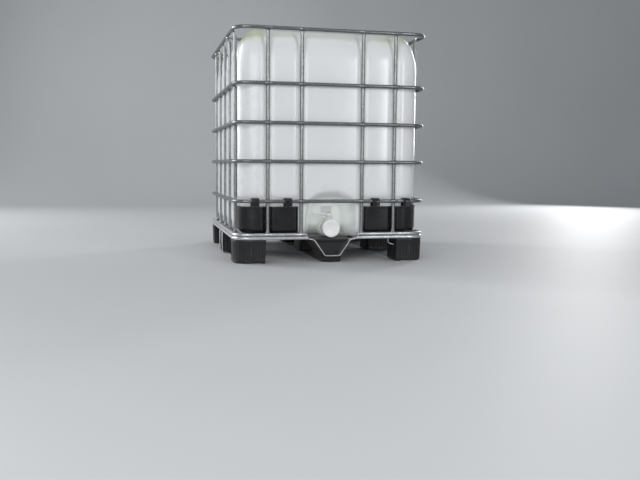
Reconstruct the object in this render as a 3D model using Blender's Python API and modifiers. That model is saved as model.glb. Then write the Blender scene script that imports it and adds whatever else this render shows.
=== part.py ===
"""Intermediate bulk container: a moulded bottle in a tube cage, on a pallet of steel and plastic.

+Z is up, the base is at zero, and the outlet valve is on the front, which faces -Y.
Every length is in metres. Pieces that touch keep a small gap between them.
"""

import math

import bmesh
import bpy
from mathutils import Matrix, Vector

# Overall sizes
WIDTH = 1.000
DEPTH = 1.200
HEIGHT = 1.160
GAP = 0.0003
MERGE = 0.0001
ROUND_STEPS = 32
SMALL_STEPS = 12

# Cage: rings of tube around the bottle, and uprights inside the rings
TUBE_RADIUS = 0.009
TUBE_WALL = 0.0015
RING_CORNER = 0.080
CORNER_STEPS = 5
RING_SHARES = {"lower": 0.1652, "low_middle": 0.3606, "high_middle": 0.5482, "upper": 0.7374}
FRONT_UPRIGHTS = (-0.327, -0.157, 0.157, 0.327)
SIDE_UPRIGHTS = (-0.375, -0.1875, 0.0, 0.1875, 0.375)
BAR_RADIUS = 0.008
BAR_SHARE = 0.25
BOLT_RADIUS = 0.003
BOLT_CLEARANCE = 0.0003
BOLT_HEAD_RADIUS = 0.0062
BOLT_HEAD_HEIGHT = 0.0045

# Pallet
PALLET_HEIGHT = 0.119
FRAME_HEIGHT = 0.0157
FRAME_WIDTH = 0.040
FRAME_CORNER = 0.085
TRAY_SHEET = 0.002
NOTCH_HALF = 0.130
NOTCH_BACK = 0.030
SKID_SHEET = 0.003
SKID_WIDTH = 0.100
SKID_INSET = 0.012
FOOT_SIDE = 0.160
FOOT_NARROW = 0.130
FOOT_INSET = 0.003
FOOT_ROUND = 0.012
STRAP_SHEET = 0.003
STRAP_DROP = 0.085
STRAP_FOOT_HALF = 0.062
SADDLE_TOP_HALF = 0.115
SADDLE_FOOT_HALF = 0.055

# Bottle
BOTTLE_WALL = 0.003
BOTTLE_CLEARANCE = 0.008
BOTTLE_CORNER = 0.100
BOTTLE_BASE_ROUND = 0.058
BOTTLE_SHOULDER = 0.096
BOTTLE_HEADROOM = 0.048
RECESS_HALF = 0.125
RECESS_HEIGHT = 0.228
RECESS_DEPTH = 0.106
RECESS_ROUND = 0.060
BLOCK_SEGMENTS = 5

# Corner guards, hung on the lower ring
GUARD_SHEET = 0.004
GUARD_DROP = 0.011
GUARD_INNER = 0.172
GUARD_ROUND = 0.090
GUARD_RETURN = 0.030
HOOK_WIDTH = 0.038
HOOK_SHEET = 0.0025
HOOK_LIP = 0.012
HOOK_PLACES = (0.242, 0.392)

# Filling lid and vent plug, on top
NECK_RADIUS = 0.0750
NECK_BORE = 0.0700
NECK_HEIGHT = 0.026
LID_RADIUS = 0.0860
LID_BORE = 0.0760
LID_TOP = 0.004
GASKET_HEIGHT = 0.003
VENT_RADIUS = 0.0240
VENT_HOLE = 0.0245
VENT_HEAD_RADIUS = 0.0300
VENT_HEAD_HEIGHT = 0.009
VENT_LENGTH = 0.016
VENT_GASKET_HEIGHT = 0.002

# Outlet valve, on the front
OUTLET_RISE = 0.0505
OUTLET_BORE = 0.0275
OUTLET_WALL = 0.0045
OUTLET_LENGTH = 0.024
NUT_WALL = 0.0132
NUT_START = 0.003
NUT_LENGTH = 0.0315
VALVE_WALL = 0.007
VALVE_THREAD_WALL = 0.012
VALVE_THREAD_START = 0.084
VALVE_END = 0.118
STEM_PLACE = 0.062
STEM_RADIUS = 0.005
BOSS_RADIUS = 0.014
BOSS_HEIGHT = 0.056
DISC_CLEARANCE = 0.0007
DISC_THICKNESS = 0.005
HUB_RADIUS = 0.017
HUB_HEIGHT = 0.020
LEVER_LENGTH = 0.092
LEVER_HALF = 0.011
LEVER_HEIGHT = 0.012
HANDLE_SCREW_RADIUS = 0.0085
HANDLE_SCREW_HEIGHT = 0.004
CAP_CLEARANCE = 0.0005
CAP_WALL = 0.006
CAP_LENGTH = 0.028
CAP_FACE = 0.004
CAP_GASKET = 0.003

# Worked out from the sizes above
RING_X = WIDTH / 2 - TUBE_RADIUS
RING_Y = DEPTH / 2 - HOOK_SHEET - GAP - TUBE_RADIUS
UPRIGHT_X = RING_X - 2 * TUBE_RADIUS - GAP
UPRIGHT_Y = RING_Y - 2 * TUBE_RADIUS - GAP
FRAME_TOP = PALLET_HEIGHT + FRAME_HEIGHT
RING_LOW = FRAME_TOP + GAP + TUBE_RADIUS
RING_HIGH = HEIGHT - TUBE_RADIUS
TRAY_LOW = PALLET_HEIGHT
TRAY_TOP = TRAY_LOW + TRAY_SHEET
BOTTLE_X = UPRIGHT_X - TUBE_RADIUS - BOTTLE_CLEARANCE
BOTTLE_Y = UPRIGHT_Y - TUBE_RADIUS - BOTTLE_CLEARANCE
BOTTLE_LOW = TRAY_TOP + GAP
BOTTLE_HIGH = HEIGHT - BOTTLE_HEADROOM
BAR_HEIGHT = RING_HIGH - TUBE_RADIUS - GAP - BAR_RADIUS
NECK_TOP = BOTTLE_HIGH + NECK_HEIGHT
LID_UNDER = NECK_TOP + GASKET_HEIGHT + 2 * GAP
LID_HIGH = LID_UNDER + LID_TOP
OUTLET_RADIUS = OUTLET_BORE + OUTLET_WALL
NUT_RADIUS = OUTLET_RADIUS + GAP + NUT_WALL
VALVE_RADIUS = OUTLET_BORE + VALVE_WALL
VALVE_THREAD_RADIUS = OUTLET_BORE + VALVE_THREAD_WALL
DISC_RADIUS = OUTLET_BORE - DISC_CLEARANCE
CAP_BORE = VALVE_THREAD_RADIUS + CAP_CLEARANCE
CAP_RADIUS = CAP_BORE + CAP_WALL
OUTLET_FACE = -BOTTLE_Y + RECESS_DEPTH
OUTLET_HEIGHT = BOTTLE_LOW + OUTLET_RISE
STEM_Y = OUTLET_FACE - STEM_PLACE
BOSS_TOP = OUTLET_HEIGHT + BOSS_HEIGHT


def clear_scene():
    for old in list(bpy.data.objects):
        bpy.data.objects.remove(old)


def new_collection(name, hidden):
    collection = bpy.data.collections.new(name)
    collection.hide_render = hidden
    bpy.context.scene.collection.children.link(collection)
    return collection


def new_material(name, colour, roughness, metallic):
    material = bpy.data.materials.new(name)
    material.use_nodes = True
    material.diffuse_color = (*colour, 1)
    shader = material.node_tree.nodes["Principled BSDF"]
    shader.inputs["Base Color"].default_value = (*colour, 1)
    shader.inputs["Roughness"].default_value = roughness
    shader.inputs["Metallic"].default_value = metallic
    return material


def add_part(name, data, material, location=(0, 0, 0), rotation=(0, 0, 0)):
    part = bpy.data.objects.new(name, data)
    if not data.materials:
        data.materials.append(material)
    part.location = location
    part.rotation_euler = rotation
    PARTS.objects.link(part)
    return part


def add_cutter(name, data, location=(0, 0, 0), rotation=(0, 0, 0)):
    cutter = bpy.data.objects.new(name, data)
    cutter.location = location
    cutter.rotation_euler = rotation
    cutter.hide_render = True
    cutter.display_type = "WIRE"
    CUTTERS.objects.link(cutter)
    return cutter


def combine(part, operation, other):
    """Joins the other piece to the part, or cuts it from the part."""
    boolean = part.modifiers.new(other.name, "BOOLEAN")
    boolean.operation = operation
    boolean.solver = "EXACT"
    boolean.object = other


def arc(centre, radius, start, end, steps):
    """Points on an arc, with its start and end angles in degrees."""
    points = []
    for step in range(steps + 1):
        angle = math.radians(start + (end - start) * step / steps)
        points.append((centre[0] + radius * math.cos(angle), centre[1] + radius * math.sin(angle)))
    return points


def rounded_corners(half_x, half_y, radii, steps=CORNER_STEPS):
    """A rectangle's four rounded corners, anticlockwise from the one at +X and -Y."""
    points = []
    for turn, (side_x, side_y) in enumerate(((1, -1), (1, 1), (-1, 1), (-1, -1))):
        radius = radii[turn]
        centre = (side_x * (half_x - radius), side_y * (half_y - radius))
        start = 90 * turn - 90
        points += arc(centre, radius, start, start + 90, steps)
    return points


def placed(axis, pair, along):
    if axis == "X":
        return Vector((along, pair[0], pair[1]))
    if axis == "Y":
        return Vector((pair[0], along, pair[1]))
    return Vector((pair[0], pair[1], along))


def prism(name, outline, axis, start, end):
    """A flat outline pushed along an axis. Its points give the two other coordinates, in order."""
    mesh = bpy.data.meshes.new(name)
    build = bmesh.new()
    face = build.faces.new([build.verts.new(placed(axis, pair, start)) for pair in outline])
    pushed = bmesh.ops.extrude_face_region(build, geom=[face])["geom"]
    moved = [item for item in pushed if isinstance(item, bmesh.types.BMVert)]
    bmesh.ops.translate(build, verts=moved, vec=placed(axis, (0, 0), end - start))
    bmesh.ops.recalc_face_normals(build, faces=build.faces)
    build.to_mesh(mesh)
    build.free()
    return mesh


def profile_mesh(name, profile, closed):
    """The half section of a round piece: radius and height of each point."""
    points = [(radius, 0, height) for radius, height in profile]
    edges = [(i, i + 1) for i in range(len(points) - 1)]
    if closed:
        edges.append((len(points) - 1, 0))
    mesh = bpy.data.meshes.new(name)
    mesh.from_pydata(points, edges, [])
    return mesh


def turn(part, steps=ROUND_STEPS):
    """Sweeps a half section about its own Z axis."""
    screw = part.modifiers.new("Turn", "SCREW")
    screw.steps = steps
    screw.render_steps = steps
    screw.use_merge_vertices = True
    screw.merge_threshold = MERGE
    screw.use_smooth_shade = True


def disc_profile(radius, low, high):
    return ((0, high), (radius, high), (radius, low), (0, low))


def sleeve_profile(outer, inner, low, high):
    return ((outer, high), (outer, low), (inner, low), (inner, high))


def tube_curve(name, points, radius, closed):
    curve = bpy.data.curves.new(name, "CURVE")
    curve.dimensions = "3D"
    curve.bevel_depth = radius
    curve.bevel_resolution = 2
    curve.use_fill_caps = True
    spline = curve.splines.new("POLY")
    spline.points.add(len(points) - 1)
    for point, place in zip(spline.points, points):
        point.co = (*place, 1)
    spline.use_cyclic_u = closed
    return curve


def as_mesh(part):
    """Turns a curve into a mesh, so that other pieces can be cut from it."""
    bpy.context.view_layer.update()
    graph = bpy.context.evaluated_depsgraph_get()
    mesh = bpy.data.meshes.new_from_object(part.evaluated_get(graph))
    build = bmesh.new()
    build.from_mesh(mesh)
    bmesh.ops.remove_doubles(build, verts=build.verts, dist=MERGE / 10)
    bmesh.ops.recalc_face_normals(build, faces=build.faces)
    build.to_mesh(mesh)
    build.free()
    name = part.name
    place = part.matrix_world.copy()
    bpy.data.objects.remove(part)
    made = add_part(name, mesh, None)
    made.matrix_world = place
    return made


def open_tube(name, radius, length):
    """A straight tube along Z with open ends, standing on its origin."""
    return profile_mesh(name, sleeve_profile(radius, radius - TUBE_WALL, 0, length), closed=True)


def round_edges(build, edges, radius):
    bmesh.ops.bevel(
        build,
        geom=edges,
        offset=radius,
        offset_type="OFFSET",
        segments=BLOCK_SEGMENTS,
        profile=0.5,
        affect="EDGES",
    )


def soft_block(name, half_x, half_y, low, high, inset):
    """The bottle's block. The inset makes its rounding that much tighter, for the inside."""
    build = bmesh.new()
    size = Matrix.Diagonal((2 * half_x, 2 * half_y, high - low, 1))
    bmesh.ops.create_cube(build, size=1, matrix=Matrix.Translation((0, 0, (low + high) / 2)) @ size)
    middle = (low + high) / 2
    round_edges(
        build,
        [e for e in build.edges if (e.verts[0].co.z - middle) * (e.verts[1].co.z - middle) < 0],
        BOTTLE_CORNER - inset,
    )
    round_edges(
        build,
        [e for e in build.edges if min(v.co.z for v in e.verts) > high - MERGE],
        BOTTLE_SHOULDER - inset,
    )
    round_edges(
        build,
        [e for e in build.edges if max(v.co.z for v in e.verts) < low + MERGE],
        BOTTLE_BASE_ROUND - inset,
    )
    mesh = bpy.data.meshes.new(name)
    build.to_mesh(mesh)
    build.free()
    return mesh


def recess_outline(grow):
    """The recess seen from the front: open below, with rounded upper corners."""
    half = RECESS_HALF + grow
    top = BOTTLE_LOW + RECESS_HEIGHT + grow
    low = BOTTLE_LOW - BOTTLE_BASE_ROUND
    centre = half - RECESS_ROUND
    points = [(-half, low), (half, low)]
    points += arc((centre, top - RECESS_ROUND), RECESS_ROUND, 0, 90, CORNER_STEPS)
    points += arc((-centre, top - RECESS_ROUND), RECESS_ROUND, 90, 180, CORNER_STEPS)
    return points


def build_bottle():
    bottle = add_part(
        "bottle", soft_block("bottle", BOTTLE_X, BOTTLE_Y, BOTTLE_LOW, BOTTLE_HIGH, 0), MILKY
    )
    front = -BOTTLE_Y - BOTTLE_WALL
    recess = add_cutter("recess", prism("recess", recess_outline(0), "Y", front, OUTLET_FACE))
    grown = add_cutter(
        "recess_inside",
        prism("recess_inside", recess_outline(BOTTLE_WALL), "Y", front, OUTLET_FACE + BOTTLE_WALL),
    )
    inside = add_cutter(
        "inside",
        soft_block(
            "inside",
            BOTTLE_X - BOTTLE_WALL,
            BOTTLE_Y - BOTTLE_WALL,
            BOTTLE_LOW + BOTTLE_WALL,
            BOTTLE_HIGH - BOTTLE_WALL,
            BOTTLE_WALL,
        ),
    )
    combine(inside, "DIFFERENCE", grown)
    sunk = BOTTLE_WALL / 2
    neck = add_cutter(
        "neck",
        profile_mesh("neck", disc_profile(NECK_RADIUS, -sunk, NECK_HEIGHT), closed=False),
        (0, 0, BOTTLE_HIGH),
    )
    neck_bore = add_cutter(
        "neck_bore",
        profile_mesh("neck_bore", disc_profile(NECK_BORE, -2 * BOTTLE_WALL, 2 * NECK_HEIGHT), closed=False),
        (0, 0, BOTTLE_HIGH),
    )
    outlet = add_cutter(
        "outlet",
        profile_mesh("outlet", disc_profile(OUTLET_RADIUS, -sunk, OUTLET_LENGTH), closed=False),
        (0, OUTLET_FACE, OUTLET_HEIGHT),
        FORWARD,
    )
    outlet_bore = add_cutter(
        "outlet_bore",
        profile_mesh("outlet_bore", disc_profile(OUTLET_BORE, -2 * BOTTLE_WALL, 2 * OUTLET_LENGTH), closed=False),
        (0, OUTLET_FACE, OUTLET_HEIGHT),
        FORWARD,
    )
    for round_cutter in (neck, neck_bore, outlet, outlet_bore):
        turn(round_cutter)
    combine(bottle, "UNION", neck)
    combine(bottle, "DIFFERENCE", recess)
    combine(bottle, "UNION", outlet)
    combine(bottle, "DIFFERENCE", inside)
    combine(bottle, "DIFFERENCE", neck_bore)
    combine(bottle, "DIFFERENCE", outlet_bore)


def build_rings():
    corners = rounded_corners(RING_X, RING_Y, [RING_CORNER] * 4)
    span = RING_HIGH - RING_LOW
    for label, share in RING_SHARES.items():
        height = RING_LOW + span * share
        points = [(x, y, height) for x, y in corners]
        name = "cage_ring_" + label
        add_part(name, tube_curve(name, points, TUBE_RADIUS, True), GALVANISED)
    opened = [(NOTCH_HALF, -RING_Y), *corners, (-NOTCH_HALF, -RING_Y)]
    points = [(x, y, RING_LOW) for x, y in opened]
    add_part("cage_ring_bottom", tube_curve("cage_ring_bottom", points, TUBE_RADIUS, False), GALVANISED)
    points = [(x, y, RING_HIGH) for x, y in corners]
    top = add_part("cage_ring_top", tube_curve("cage_ring_top", points, TUBE_RADIUS, True), GALVANISED)
    return as_mesh(top)


def build_uprights():
    low = FRAME_TOP + GAP
    mesh = open_tube("upright", TUBE_RADIUS, RING_HIGH + TUBE_RADIUS / 2 - low)
    for side, y in (("front", -UPRIGHT_Y), ("rear", UPRIGHT_Y)):
        for number, share in enumerate(FRONT_UPRIGHTS, 1):
            part = add_part(f"upright_{side}_{number}", mesh, GALVANISED, (share * WIDTH, y, low))
            turn(part, SMALL_STEPS)
    for side, x in (("left", -UPRIGHT_X), ("right", UPRIGHT_X)):
        for number, share in enumerate(SIDE_UPRIGHTS, 1):
            part = add_part(f"upright_{side}_{number}", mesh, GALVANISED, (x, share * DEPTH, low))
            turn(part, SMALL_STEPS)


def build_bars(top_ring):
    """Two bars across the top, each held up to the top ring by a bolt at either end."""
    bar_mesh = open_tube("cross_bar", BAR_RADIUS, WIDTH)
    head_top = BAR_HEIGHT - BAR_RADIUS - GAP
    shank_top = RING_HIGH - head_top
    bolt_mesh = profile_mesh(
        "bolt",
        (
            (0, shank_top),
            (BOLT_RADIUS, shank_top),
            (BOLT_RADIUS, 0),
            (BOLT_HEAD_RADIUS, 0),
            (BOLT_HEAD_RADIUS, -BOLT_HEAD_HEIGHT),
            (0, -BOLT_HEAD_HEIGHT),
        ),
        closed=False,
    )
    drill_mesh = profile_mesh(
        "drill",
        disc_profile(BOLT_RADIUS + BOLT_CLEARANCE, -BOLT_HEAD_HEIGHT, shank_top + BOLT_CLEARANCE),
        closed=False,
    )
    for side, y in (("front", -BAR_SHARE * DEPTH), ("rear", BAR_SHARE * DEPTH)):
        bar = add_part(f"cross_bar_{side}", bar_mesh, GALVANISED, (-WIDTH / 2, y, BAR_HEIGHT), SIDEWAYS)
        turn(bar, SMALL_STEPS)
        for end, x in (("left", -RING_X), ("right", RING_X)):
            bolt = add_part(f"bar_bolt_{side}_{end}", bolt_mesh, ZINC, (x, y, head_top))
            drill = add_cutter(f"drill_{side}_{end}", drill_mesh, (x, y, head_top))
            turn(bolt, SMALL_STEPS)
            turn(drill, SMALL_STEPS)
            combine(bar, "DIFFERENCE", drill)
            combine(top_ring, "DIFFERENCE", drill)


def build_guard(side, sign):
    """A bent plate behind the uprights, from the side of the cage round to the inner upright."""
    outer_x = UPRIGHT_X - TUBE_RADIUS - GAP
    outer_y = UPRIGHT_Y - TUBE_RADIUS - GAP
    centre = (outer_x - GUARD_ROUND, -outer_y + GUARD_ROUND)
    outer = [(GUARD_INNER, -outer_y), *arc(centre, GUARD_ROUND, -90, 0, CORNER_STEPS)]
    inner_round = GUARD_ROUND - GUARD_SHEET
    inner = [(GUARD_INNER, -outer_y + GUARD_SHEET), *arc(centre, inner_round, -90, 0, CORNER_STEPS)]
    end_y = centre[1] + GUARD_RETURN
    outer.append((outer_x, end_y))
    inner.append((outer_x - GUARD_SHEET, end_y))
    outline = [(sign * x, y) for x, y in outer + inner[::-1]]
    ring = RING_LOW + (RING_HIGH - RING_LOW) * RING_SHARES["lower"]
    top = ring - TUBE_RADIUS - GUARD_DROP
    name = "corner_guard_" + side
    guard = add_part(name, prism(name, outline, "Z", FRAME_TOP + GAP, top), BLACK_PLASTIC)
    back = -outer_y + GUARD_SHEET
    front = -RING_Y - TUBE_RADIUS - GAP
    rest = ring + TUBE_RADIUS + GAP
    section = (
        (back, top - HOOK_LIP),
        (back, rest + HOOK_SHEET),
        (front - HOOK_SHEET, rest + HOOK_SHEET),
        (front - HOOK_SHEET, ring - HOOK_LIP),
        (front, ring - HOOK_LIP),
        (front, rest),
        (-outer_y, rest),
        (-outer_y, top - HOOK_LIP),
    )
    for number, place in enumerate(HOOK_PLACES, 1):
        middle = sign * place * WIDTH
        hook_name = f"hook_{side}_{number}"
        half = HOOK_WIDTH / 2
        hook = add_cutter(hook_name, prism(hook_name, section, "X", middle - half, middle + half))
        combine(guard, "UNION", hook)


def build_pallet():
    half_x = WIDTH / 2
    half_y = DEPTH / 2
    inner_x = half_x - FRAME_WIDTH
    inner_y = half_y - FRAME_WIDTH
    inner_corner = FRAME_CORNER - FRAME_WIDTH
    outer = rounded_corners(half_x, half_y, [FRAME_CORNER] * 4)
    inner = rounded_corners(inner_x, inner_y, [inner_corner] * 4)
    outline = [(NOTCH_HALF, -half_y), *outer, (-NOTCH_HALF, -half_y)]
    outline += [(-NOTCH_HALF, -inner_y), *inner[::-1], (NOTCH_HALF, -inner_y)]
    add_part("pallet_frame", prism("pallet_frame", outline, "Z", PALLET_HEIGHT, FRAME_TOP), GALVANISED)

    tray_x = inner_x - GAP
    tray_y = inner_y - GAP
    sheet = rounded_corners(tray_x, tray_y, [inner_corner - GAP] * 4)
    notch_y = OUTLET_FACE + NOTCH_BACK
    outline = [(NOTCH_HALF, -tray_y), *sheet, (-NOTCH_HALF, -tray_y)]
    outline += [(-NOTCH_HALF, notch_y), (NOTCH_HALF, notch_y)]
    add_part("pallet_tray", prism("pallet_tray", outline, "Z", TRAY_LOW, TRAY_TOP), GALVANISED)

    build_feet(half_x, half_y)
    build_saddle(half_y)
    outline = rounded_corners(SKID_WIDTH / 2, half_y - SKID_INSET, [FOOT_ROUND] * 4)
    skid_mesh = prism("skid", outline, "Z", 0, SKID_SHEET)
    place = half_x - FOOT_INSET - FOOT_SIDE / 2
    for side, x in (("left", -place), ("middle", 0), ("right", place)):
        add_part("skid_" + side, skid_mesh, GALVANISED, (x, 0, 0))


def build_feet(half_x, half_y):
    """Four corner feet, each with a large outer corner, and the feet between them."""
    low = SKID_SHEET + GAP
    high = PALLET_HEIGHT - GAP
    half = FOOT_SIDE / 2
    narrow = FOOT_NARROW / 2
    place_x = half_x - FOOT_INSET - half
    place_y = half_y - FOOT_INSET - half
    corner_feet = (("front_right", 1, -1), ("rear_right", 1, 1), ("rear_left", -1, 1), ("front_left", -1, -1))
    for number, (side, sign_x, sign_y) in enumerate(corner_feet):
        radii = [FOOT_ROUND] * 4
        radii[number] = FRAME_CORNER
        name = "foot_" + side
        mesh = prism(name, rounded_corners(half, half, radii), "Z", low, high)
        add_part(name, mesh, BLACK_PLASTIC, (sign_x * place_x, sign_y * place_y, 0))
    plain = [FOOT_ROUND] * 4
    side_mesh = prism("foot_side", rounded_corners(half, half, plain), "Z", low, high)
    add_part("foot_left", side_mesh, BLACK_PLASTIC, (-place_x, 0, 0))
    add_part("foot_right", side_mesh, BLACK_PLASTIC, (place_x, 0, 0))
    middle_mesh = prism("foot_middle", rounded_corners(narrow, half, plain), "Z", low, high)
    add_part("foot_centre", middle_mesh, BLACK_PLASTIC)
    add_part("foot_rear", middle_mesh, BLACK_PLASTIC, (0, place_y, 0))


def build_saddle(half_y):
    """The front middle foot, tapered under the valve, with a bent strap across its front."""
    low = SKID_SHEET + GAP
    high = PALLET_HEIGHT - GAP
    waist = PALLET_HEIGHT - STRAP_DROP
    foot = (
        (-SADDLE_TOP_HALF, high),
        (-SADDLE_FOOT_HALF, waist),
        (-SADDLE_FOOT_HALF, low),
        (SADDLE_FOOT_HALF, low),
        (SADDLE_FOOT_HALF, waist),
        (SADDLE_TOP_HALF, high),
    )
    strap_back = -half_y + FRAME_WIDTH
    foot_mesh = prism("foot_front", foot, "Y", strap_back + GAP, strap_back + FOOT_SIDE)
    add_part("foot_front", foot_mesh, BLACK_PLASTIC)
    strap = (
        (-NOTCH_HALF + GAP, FRAME_TOP),
        (-NOTCH_HALF + GAP, high),
        (-STRAP_FOOT_HALF, waist),
        (STRAP_FOOT_HALF, waist),
        (NOTCH_HALF - GAP, high),
        (NOTCH_HALF - GAP, FRAME_TOP),
        (NOTCH_HALF - STRAP_SHEET, FRAME_TOP),
        (NOTCH_HALF - STRAP_SHEET, high),
        (STRAP_FOOT_HALF - STRAP_SHEET / 2, waist + STRAP_SHEET),
        (-STRAP_FOOT_HALF + STRAP_SHEET / 2, waist + STRAP_SHEET),
        (-NOTCH_HALF + STRAP_SHEET, high),
        (-NOTCH_HALF + STRAP_SHEET, FRAME_TOP),
    )
    add_part("valve_strap", prism("valve_strap", strap, "Y", -half_y, strap_back), GALVANISED)


def build_lid():
    """Every piece is placed on the upright axis that it turns about."""
    gasket = add_part(
        "lid_gasket",
        profile_mesh("lid_gasket", sleeve_profile(NECK_RADIUS, NECK_BORE, 0, GASKET_HEIGHT), closed=True),
        RUBBER,
        (0, 0, NECK_TOP + GAP),
    )
    skirt = BOTTLE_HIGH + GASKET_HEIGHT - LID_UNDER
    lid = add_part(
        "fill_lid",
        profile_mesh(
            "fill_lid",
            (
                (LID_RADIUS, LID_TOP),
                (LID_RADIUS, skirt),
                (LID_BORE, skirt),
                (LID_BORE, 0),
                (VENT_HOLE, 0),
                (VENT_HOLE, LID_TOP),
            ),
            closed=True,
        ),
        WHITE_PLASTIC,
        (0, 0, LID_UNDER),
    )
    vent_gasket = add_part(
        "vent_gasket",
        profile_mesh(
            "vent_gasket", sleeve_profile(VENT_HEAD_RADIUS, VENT_HOLE, 0, VENT_GASKET_HEIGHT), closed=True
        ),
        RUBBER,
        (0, 0, LID_HIGH + GAP),
    )
    head_low = VENT_GASKET_HEIGHT + 2 * GAP
    vent = add_part(
        "vent_plug",
        profile_mesh(
            "vent_plug",
            (
                (0, head_low + VENT_HEAD_HEIGHT),
                (VENT_HEAD_RADIUS, head_low + VENT_HEAD_HEIGHT),
                (VENT_HEAD_RADIUS, head_low),
                (VENT_RADIUS, head_low),
                (VENT_RADIUS, head_low - VENT_LENGTH),
                (0, head_low - VENT_LENGTH),
            ),
            closed=False,
        ),
        WHITE_PLASTIC,
        (0, 0, LID_HIGH),
    )
    for part in (gasket, lid, vent_gasket, vent):
        turn(part)


def build_valve():
    """Lengths along the outlet run forward from the back of the recess."""
    centre = (0, OUTLET_FACE, OUTLET_HEIGHT)
    nut = add_part(
        "valve_nut",
        profile_mesh(
            "valve_nut",
            sleeve_profile(NUT_RADIUS, OUTLET_RADIUS + GAP, NUT_START, NUT_START + NUT_LENGTH),
            closed=True,
        ),
        WHITE_PLASTIC,
        centre,
        FORWARD,
    )
    nut_end = NUT_START + NUT_LENGTH
    body = add_part(
        "valve_body",
        profile_mesh(
            "valve_body",
            (
                (0, VALVE_END),
                (VALVE_THREAD_RADIUS, VALVE_END),
                (VALVE_THREAD_RADIUS, VALVE_THREAD_START),
                (VALVE_RADIUS, VALVE_THREAD_START),
                (VALVE_RADIUS, nut_end + GAP),
                (OUTLET_RADIUS, nut_end + GAP),
                (OUTLET_RADIUS, OUTLET_LENGTH + GAP),
                (0, OUTLET_LENGTH + GAP),
            ),
            closed=False,
        ),
        WHITE_PLASTIC,
        centre,
        FORWARD,
    )
    boss = add_cutter(
        "boss",
        profile_mesh("boss", disc_profile(BOSS_RADIUS, OUTLET_BORE / 2, BOSS_HEIGHT), closed=False),
        (0, STEM_Y, OUTLET_HEIGHT),
    )
    bore = add_cutter(
        "bore",
        profile_mesh("bore", disc_profile(OUTLET_BORE, 0, VALVE_END + OUTLET_LENGTH), closed=False),
        centre,
        FORWARD,
    )
    stem_hole = add_cutter(
        "stem_hole",
        profile_mesh(
            "stem_hole", disc_profile(STEM_RADIUS + GAP, OUTLET_BORE / 3, 2 * BOSS_HEIGHT), closed=False
        ),
        (0, STEM_Y, OUTLET_HEIGHT),
    )
    for round_piece in (nut, body, boss, bore, stem_hole):
        turn(round_piece)
    combine(body, "UNION", boss)
    combine(body, "DIFFERENCE", bore)
    combine(body, "DIFFERENCE", stem_hole)
    build_handle(stem_hole)
    build_cap(centre)


def build_handle(stem_hole):
    """The disc, its stem, the lever and the screw all turn about the stem's axis."""
    axis = (0, STEM_Y, OUTLET_HEIGHT)
    half = DISC_THICKNESS / 2
    disc = add_part(
        "valve_disc",
        profile_mesh("valve_disc", disc_profile(DISC_RADIUS, -half, half), closed=False),
        WHITE_PLASTIC,
        axis,
        FORWARD,
    )
    hub_low = BOSS_HEIGHT + GAP
    hub_high = hub_low + HUB_HEIGHT
    stem = add_cutter(
        "stem", profile_mesh("stem", disc_profile(STEM_RADIUS, 0, hub_high - GAP), closed=False), axis
    )
    hub = add_part(
        "valve_handle",
        profile_mesh("valve_handle", disc_profile(HUB_RADIUS, hub_low, hub_high), closed=False),
        WHITE_PLASTIC,
        axis,
    )
    lever_low = hub_high - LEVER_HEIGHT
    tip = -LEVER_LENGTH + LEVER_HALF
    outline = [(0, -LEVER_HALF), (0, LEVER_HALF), *arc((tip, 0), LEVER_HALF, 90, 270, 2 * CORNER_STEPS)]
    lever = add_cutter("lever", prism("lever", outline, "Z", lever_low, hub_high - GAP), axis)
    screw = add_part(
        "handle_screw",
        profile_mesh(
            "handle_screw",
            disc_profile(HANDLE_SCREW_RADIUS, hub_high + GAP, hub_high + HANDLE_SCREW_HEIGHT),
            closed=False,
        ),
        ZINC,
        axis,
    )
    for round_piece in (disc, stem, hub, screw):
        turn(round_piece)
    combine(disc, "UNION", stem)
    combine(hub, "UNION", lever)
    combine(hub, "DIFFERENCE", stem_hole)


def build_cap(centre):
    gasket_low = VALVE_END + GAP
    gasket = add_part(
        "cap_gasket",
        profile_mesh(
            "cap_gasket",
            sleeve_profile(VALVE_THREAD_RADIUS, OUTLET_BORE, gasket_low, gasket_low + CAP_GASKET),
            closed=True,
        ),
        RUBBER,
        centre,
        FORWARD,
    )
    face_low = gasket_low + CAP_GASKET + GAP
    face_high = face_low + CAP_FACE
    cap = add_part(
        "outlet_cap",
        profile_mesh(
            "outlet_cap",
            (
                (0, face_high),
                (CAP_RADIUS, face_high),
                (CAP_RADIUS, face_high - CAP_LENGTH),
                (CAP_BORE, face_high - CAP_LENGTH),
                (CAP_BORE, face_low),
                (0, face_low),
            ),
            closed=False,
        ),
        WHITE_PLASTIC,
        centre,
        FORWARD,
    )
    turn(gasket)
    turn(cap)


clear_scene()
PARTS = new_collection("intermediate_bulk_container", hidden=False)
CUTTERS = new_collection("cutters", hidden=True)
GALVANISED = new_material("galvanised_steel", (0.55, 0.56, 0.57), 0.38, 1.0)
ZINC = new_material("zinc_plated_steel", (0.70, 0.70, 0.68), 0.30, 1.0)
MILKY = new_material("natural_polyethylene", (0.78, 0.80, 0.76), 0.35, 0.0)
WHITE_PLASTIC = new_material("white_plastic", (0.82, 0.83, 0.84), 0.40, 0.0)
BLACK_PLASTIC = new_material("black_plastic", (0.02, 0.02, 0.022), 0.45, 0.0)
RUBBER = new_material("sealing_rubber", (0.03, 0.03, 0.03), 0.70, 0.0)
FORWARD = (math.radians(90), 0, 0)
SIDEWAYS = (0, math.radians(90), 0)

build_bottle()
build_bars(build_rings())
build_uprights()
for guard_side, guard_sign in (("left", -1), ("right", 1)):
    build_guard(guard_side, guard_sign)
build_pallet()
build_lid()
build_valve()
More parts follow.
